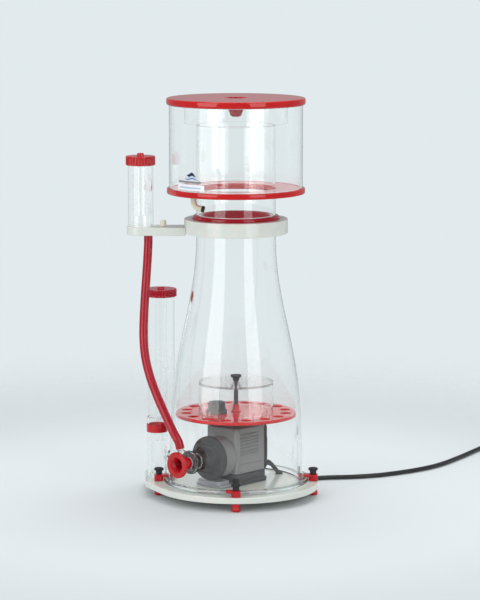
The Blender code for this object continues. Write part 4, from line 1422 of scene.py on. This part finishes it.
@dataclass
class PowerCord:
    """The pump's cable: boot, lead through the base, run on the table, coil and plug."""

    bench: Bench

    def lead(self) -> Array:
        """Points from the gland, down at 45 degrees through the base plate, to the table.

        Two arcs of LEAD_BEND with a straight slope between them, read at nine even steps forward.

        Returns:
            (9, 3) points.
        """
        drop = LEAD_BEND * (1 - math.cos(math.radians(45)))
        reach = LEAD_BEND * math.sin(math.radians(45))
        straight = GLAND_HEIGHT - CORD_FLOOR - 2 * drop
        run = 2 * reach + straight
        ahead = np.linspace(0, run, 9)
        first = GLAND_HEIGHT - (LEAD_BEND - np.sqrt(np.maximum(0, LEAD_BEND ** 2 - ahead ** 2)))
        slope = GLAND_HEIGHT - drop - (ahead - reach)
        last = CORD_FLOOR + LEAD_BEND - np.sqrt(np.maximum(0, LEAD_BEND ** 2 - (run - ahead) ** 2))
        height = np.where(ahead < reach, first, np.where(ahead < reach + straight, slope, last))
        return np.array([pump_point(GLAND_TIP - a, GLAND_SIDE, z) for a, z in zip(ahead, height)])

    def coil(self) -> Array:
        """Three and a half turns in two layers, wound clockwise from the coil's left side.

        The angle t runs from 0 to 1260 degrees. The radius goes in before the first turn ends, the cord
        climbs a layer before it meets itself again, and goes out once more for the last part turn. Each
        change is a smooth step over the degrees given.

        Returns:
            (253, 3) points.
        """
        t = np.linspace(0, 1260, 253)

        def step(start: float, end: float) -> Array:
            """A smooth step from 0 to 1 between two angles."""
            share = np.clip((t - start) / (end - start), 0, 1)
            return share * share * (3 - 2 * share)

        radius = COIL_OUTER - (COIL_OUTER - COIL_INNER) * (step(300, 360) - step(900, 960))
        height = CORD_FLOOR + COIL_RISE * step(600, 660)
        angle = np.radians(180 - t)
        x, y = COLUMN_X + COIL[0] + radius * np.cos(angle), COIL[1] + radius * np.sin(angle)
        return np.stack([x, y, height], axis=1)

    def path(self) -> Array:
        """The whole cord's middle line.

        Returns:
            (n, 3) points.
        """
        table = np.array([(x + COLUMN_X, y, CORD_FLOOR) for x, y in CORD_TABLE])
        into = np.array([(COLUMN_X + 0.4447, 0.4160, CORD_FLOOR)])
        knots = np.vstack([self.lead()[:-1], table, into, self.coil()[::3], np.array(TAIL) + ON_COLUMN])
        return smooth_route(knots, 0.0035)

    def tunnel(self) -> Surface:
        """The shell that the cord's lead needs through the base plate."""
        return swept(smooth_route(self.lead(), 0.004), CORD_RADIUS + 0.0010, 24)

    def build(self) -> None:
        path = self.path()
        cable = self.bench.place("mains_cable", swept(path, CORD_RADIUS, 16), Finish.CORD, "power_cord",
                                 "cord_coil", "cord_tail")
        lead = smooth_route(self.lead(), 0.0005)
        behind = np.array([pump_point(GLAND_TIP + 0.0129 * s, GLAND_SIDE, GLAND_HEIGHT) for s in (1.0, 0.5)])
        sleeve = even(np.vstack([behind, lead[:28]]), 90)
        share = np.linspace(0, 1, len(sleeve))
        ribs = 0.0005 * np.maximum(0, np.sin(share * 2 * np.pi * 9)) * (share > 0.35)
        boot = swept(sleeve, 0.0058 - 0.0018 * share + ribs * (1 - share), 28)
        self.bench.place("cable_boot", boot, Finish.BLACK_NYLON, "cable_gland")
        inside = lead[(lead[:, 2] > 0.0195) & (lead[:, 2] < 0.0242)]
        self.bench.place("cable_grommet", swept(inside, 0.0052, 28), Finish.SEAL, on="base")
        plug, pins = self.plug()

    def plug(self) -> tuple[bpy.types.Object, bpy.types.Object]:
        """Makes a flat two-pin plug on the cord's end.

        Returns:
            The plug's body and its pins.
        """
        before, end = np.array(TAIL[-2:]) + ON_COLUMN
        heading = math.atan2(end[1] - before[1], end[0] - before[0])
        outline = softened([(0.0004, -0.0045), (0.0120, -0.0050), (0.0220, -0.0125), (0.0340, -0.0125),
                            (0.0340, 0.0125), (0.0220, 0.0125), (0.0120, 0.0050), (0.0004, 0.0045)],
                           0.003, True, 5)
        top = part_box("power_plug")[1].z
        body = slab(even(np.vstack([outline, outline[:1]]), 121)[:-1], 0.0, top, 0.0022).turned_by(heading)
        plug = self.bench.place("plug_body", body.moved(end[0], end[1]), Finish.CORD, "power_plug")
        pin = turned([(0, 0.0335), (0.0020, 0.0335), (0.0020, 0.0515), (0.0012, 0.0530), (0, 0.0530)], 24,
                     soft=0.0004)
        pair = many(pin.laid(), np.array([(0, -0.0095, 0.0062), (0, 0.0095, 0.0062)])).turned_by(heading)
        pins = self.bench.place("plug_pins", pair.moved(end[0], end[1]), Finish.BRASS, on="base")
        return plug, pins


# ---------------------------------------------------------------- studio


@dataclass
class Studio:
    """Pale floor, pale surround, two tall softboxes and the camera."""

    surround: Colour = (0.76, 0.825, 0.845)
    dim: Colour = (0.62, 0.655, 0.665)
    floor: Colour = (0.67, 0.69, 0.70)
    dark_room: float = 0.55
    boxes: tuple[tuple[str, float, float, float], ...] = (("left", -48.0, 2.0, 40.0),
                                                          ("right", 36.0, 1.5, 28.0))
    box_distance: float = 3.0
    box_height: float = 2.6
    box_middle: float = 1.2
    top_power: float = 22.0
    fade_from: float = 0.40
    fade_to: float = 1.45
    camera_at: tuple[float, float, float] = (0.0259, -3.97, 0.87)
    pitch: float = 8.223
    lens: float = 161.4

    def world(self) -> None:
        """A surround that is brightest behind the skimmer and dimmer behind the camera and in mirror rays."""
        world = bpy.data.worlds.new("studio")
        bpy.context.scene.world = world
        world.use_nodes = True
        tree = world.node_tree
        background = tree.nodes["Background"]
        place = tree.nodes.new("ShaderNodeTexCoord")
        axes = tree.nodes.new("ShaderNodeSeparateXYZ")
        ramp = tree.nodes.new("ShaderNodeMapRange")
        mix = tree.nodes.new("ShaderNodeMix")
        mix.data_type = "RGBA"
        ramp.inputs["From Min"].default_value = -0.6
        ramp.inputs["From Max"].default_value = 0.5
        mix.inputs[6].default_value = (*self.dim, 1)
        mix.inputs[7].default_value = (*self.surround, 1)
        tree.links.new(place.outputs["Generated"], axes.inputs[0])
        tree.links.new(axes.outputs["Y"], ramp.inputs[0])
        tree.links.new(ramp.outputs[0], mix.inputs[0])
        path = tree.nodes.new("ShaderNodeLightPath")
        sharp, mirror, away, shade = (tree.nodes.new("ShaderNodeMath") for _ in range(4))
        sharp.operation = "MAXIMUM"
        mirror.operation = away.operation = "MULTIPLY"
        shade.operation = "SUBTRACT"
        tree.links.new(path.outputs["Is Glossy Ray"], sharp.inputs[0])
        tree.links.new(path.outputs["Is Singular Ray"], sharp.inputs[1])
        tree.links.new(sharp.outputs[0], mirror.inputs[0])
        tree.links.new(path.outputs["Is Reflection Ray"], mirror.inputs[1])
        tree.links.new(mirror.outputs[0], away.inputs[0])
        away.inputs[1].default_value = self.dark_room
        shade.inputs[0].default_value = 1.0
        tree.links.new(away.outputs[0], shade.inputs[1])
        tree.links.new(shade.outputs[0], background.inputs["Strength"])
        tree.links.new(mix.outputs[2], background.inputs["Color"])

    def ground(self) -> None:
        """A wide floor disc that fades into the surround towards its edge."""
        ring = turned([(0, -0.004), (7.0, -0.004), (7.0, 0.0), (0, 0.0)], FINE, soft=0.0)
        floor = meshed("studio_floor", ring.moved(z=-0.0002))
        sheet = NodeSheet("studio_floor")
        reach = sheet.add("ShaderNodeVectorMath", {"operation": "LENGTH"}, Vector=sheet.place)
        fade = sheet.add("ShaderNodeMapRange", {"interpolation_type": "SMOOTHSTEP"}, From_Min=self.fade_from,
                         From_Max=self.fade_to)
        sheet.tree.links.new(reach.outputs["Value"], fade.inputs["Value"])
        matt = sheet.add("ShaderNodeBsdfPrincipled", Base_Color=(*self.floor, 1), Roughness=0.85,
                         Specular_IOR_Level=0.1)
        open_air = sheet.add("ShaderNodeBsdfTransparent")
        mixed = sheet.add("ShaderNodeMixShader")
        sheet.tree.links.new(fade.outputs[0], mixed.inputs[0])
        sheet.tree.links.new(matt.outputs[0], mixed.inputs[1])
        sheet.tree.links.new(open_air.outputs[0], mixed.inputs[2])
        floor.data.materials.append(sheet.finish(mixed.outputs[0]))

    def softbox(self, name: str, bearing: float, distance: float, size: tuple[float, float], height: float,
                power: float) -> None:
        """Hangs a tall area light that faces the column.

        Args:
            name: the light's name.
            bearing: degrees from the camera's side, positive to the right.
            distance: metres from the column.
            size: width and height.
            height: height of its middle.
            power: watts.
        """
        lamp = bpy.data.lights.new(name, "AREA")
        lamp.shape = "RECTANGLE"
        lamp.size, lamp.size_y = size
        lamp.energy = power
        obj = bpy.data.objects.new(name, lamp)
        bpy.context.scene.collection.objects.link(obj)
        angle = math.radians(bearing)
        obj.location = (COLUMN_X + distance * math.sin(angle), -distance * math.cos(angle), height)
        down = math.atan2(height - 0.3, distance)
        obj.rotation_euler = (math.radians(90) - down, 0, angle)
        obj.visible_camera = False

    def overhead(self, power: float) -> None:
        """Hangs a wide soft light above and a little behind, for the shadow round the base.

        Args:
            power: watts.
        """
        lamp = bpy.data.lights.new("overhead", "AREA")
        lamp.shape = "RECTANGLE"
        lamp.size, lamp.size_y = 1.6, 1.2
        lamp.energy = power
        obj = bpy.data.objects.new("overhead", lamp)
        bpy.context.scene.collection.objects.link(obj)
        obj.location = (COLUMN_X + 0.2, 0.5, 2.4)
        obj.rotation_euler = (math.radians(-12), 0, 0)
        obj.visible_camera = False

    def camera(self) -> None:
        """A long lens, level with the cup and tipped down a little."""
        lens = bpy.data.cameras.new("camera")
        lens.lens = self.lens
        lens.sensor_width = 36.0
        lens.clip_end = 100.0
        obj = bpy.data.objects.new("camera", lens)
        bpy.context.scene.collection.objects.link(obj)
        obj.location = self.camera_at
        obj.rotation_euler = (math.radians(90.0 - self.pitch), 0, 0)
        bpy.context.scene.camera = obj

    def build(self) -> None:
        """Sets up the whole studio."""
        scene = bpy.context.scene
        scene.view_settings.view_transform = "Standard"
        scene.cycles.max_bounces = 24
        scene.cycles.transmission_bounces = 24
        scene.cycles.transparent_max_bounces = 48
        self.camera()
        self.world()
        self.ground()
        for side, bearing, width, power in self.boxes:
            self.softbox(f"{side}_box", bearing, self.box_distance, (width, self.box_height),
                         self.box_middle, power)
        self.overhead(self.top_power)


def main() -> None:
    """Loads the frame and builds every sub-assembly."""
    logging.basicConfig(level=logging.INFO, format="%(name)s: %(message)s")
    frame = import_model()
    Studio().build()
    bench = Bench(frame)
    cord = PowerCord(bench)
    cord.build()
    Silencer(bench).build()
    Base(bench).build(cord.tunnel())
    Column(bench).build()
    Overflow(bench).build()
    Cup(bench).build()
    Lid(bench).build()
    Pump(bench).build()
    Bubbler(bench).build()


if __name__ == "__main__":
    main()
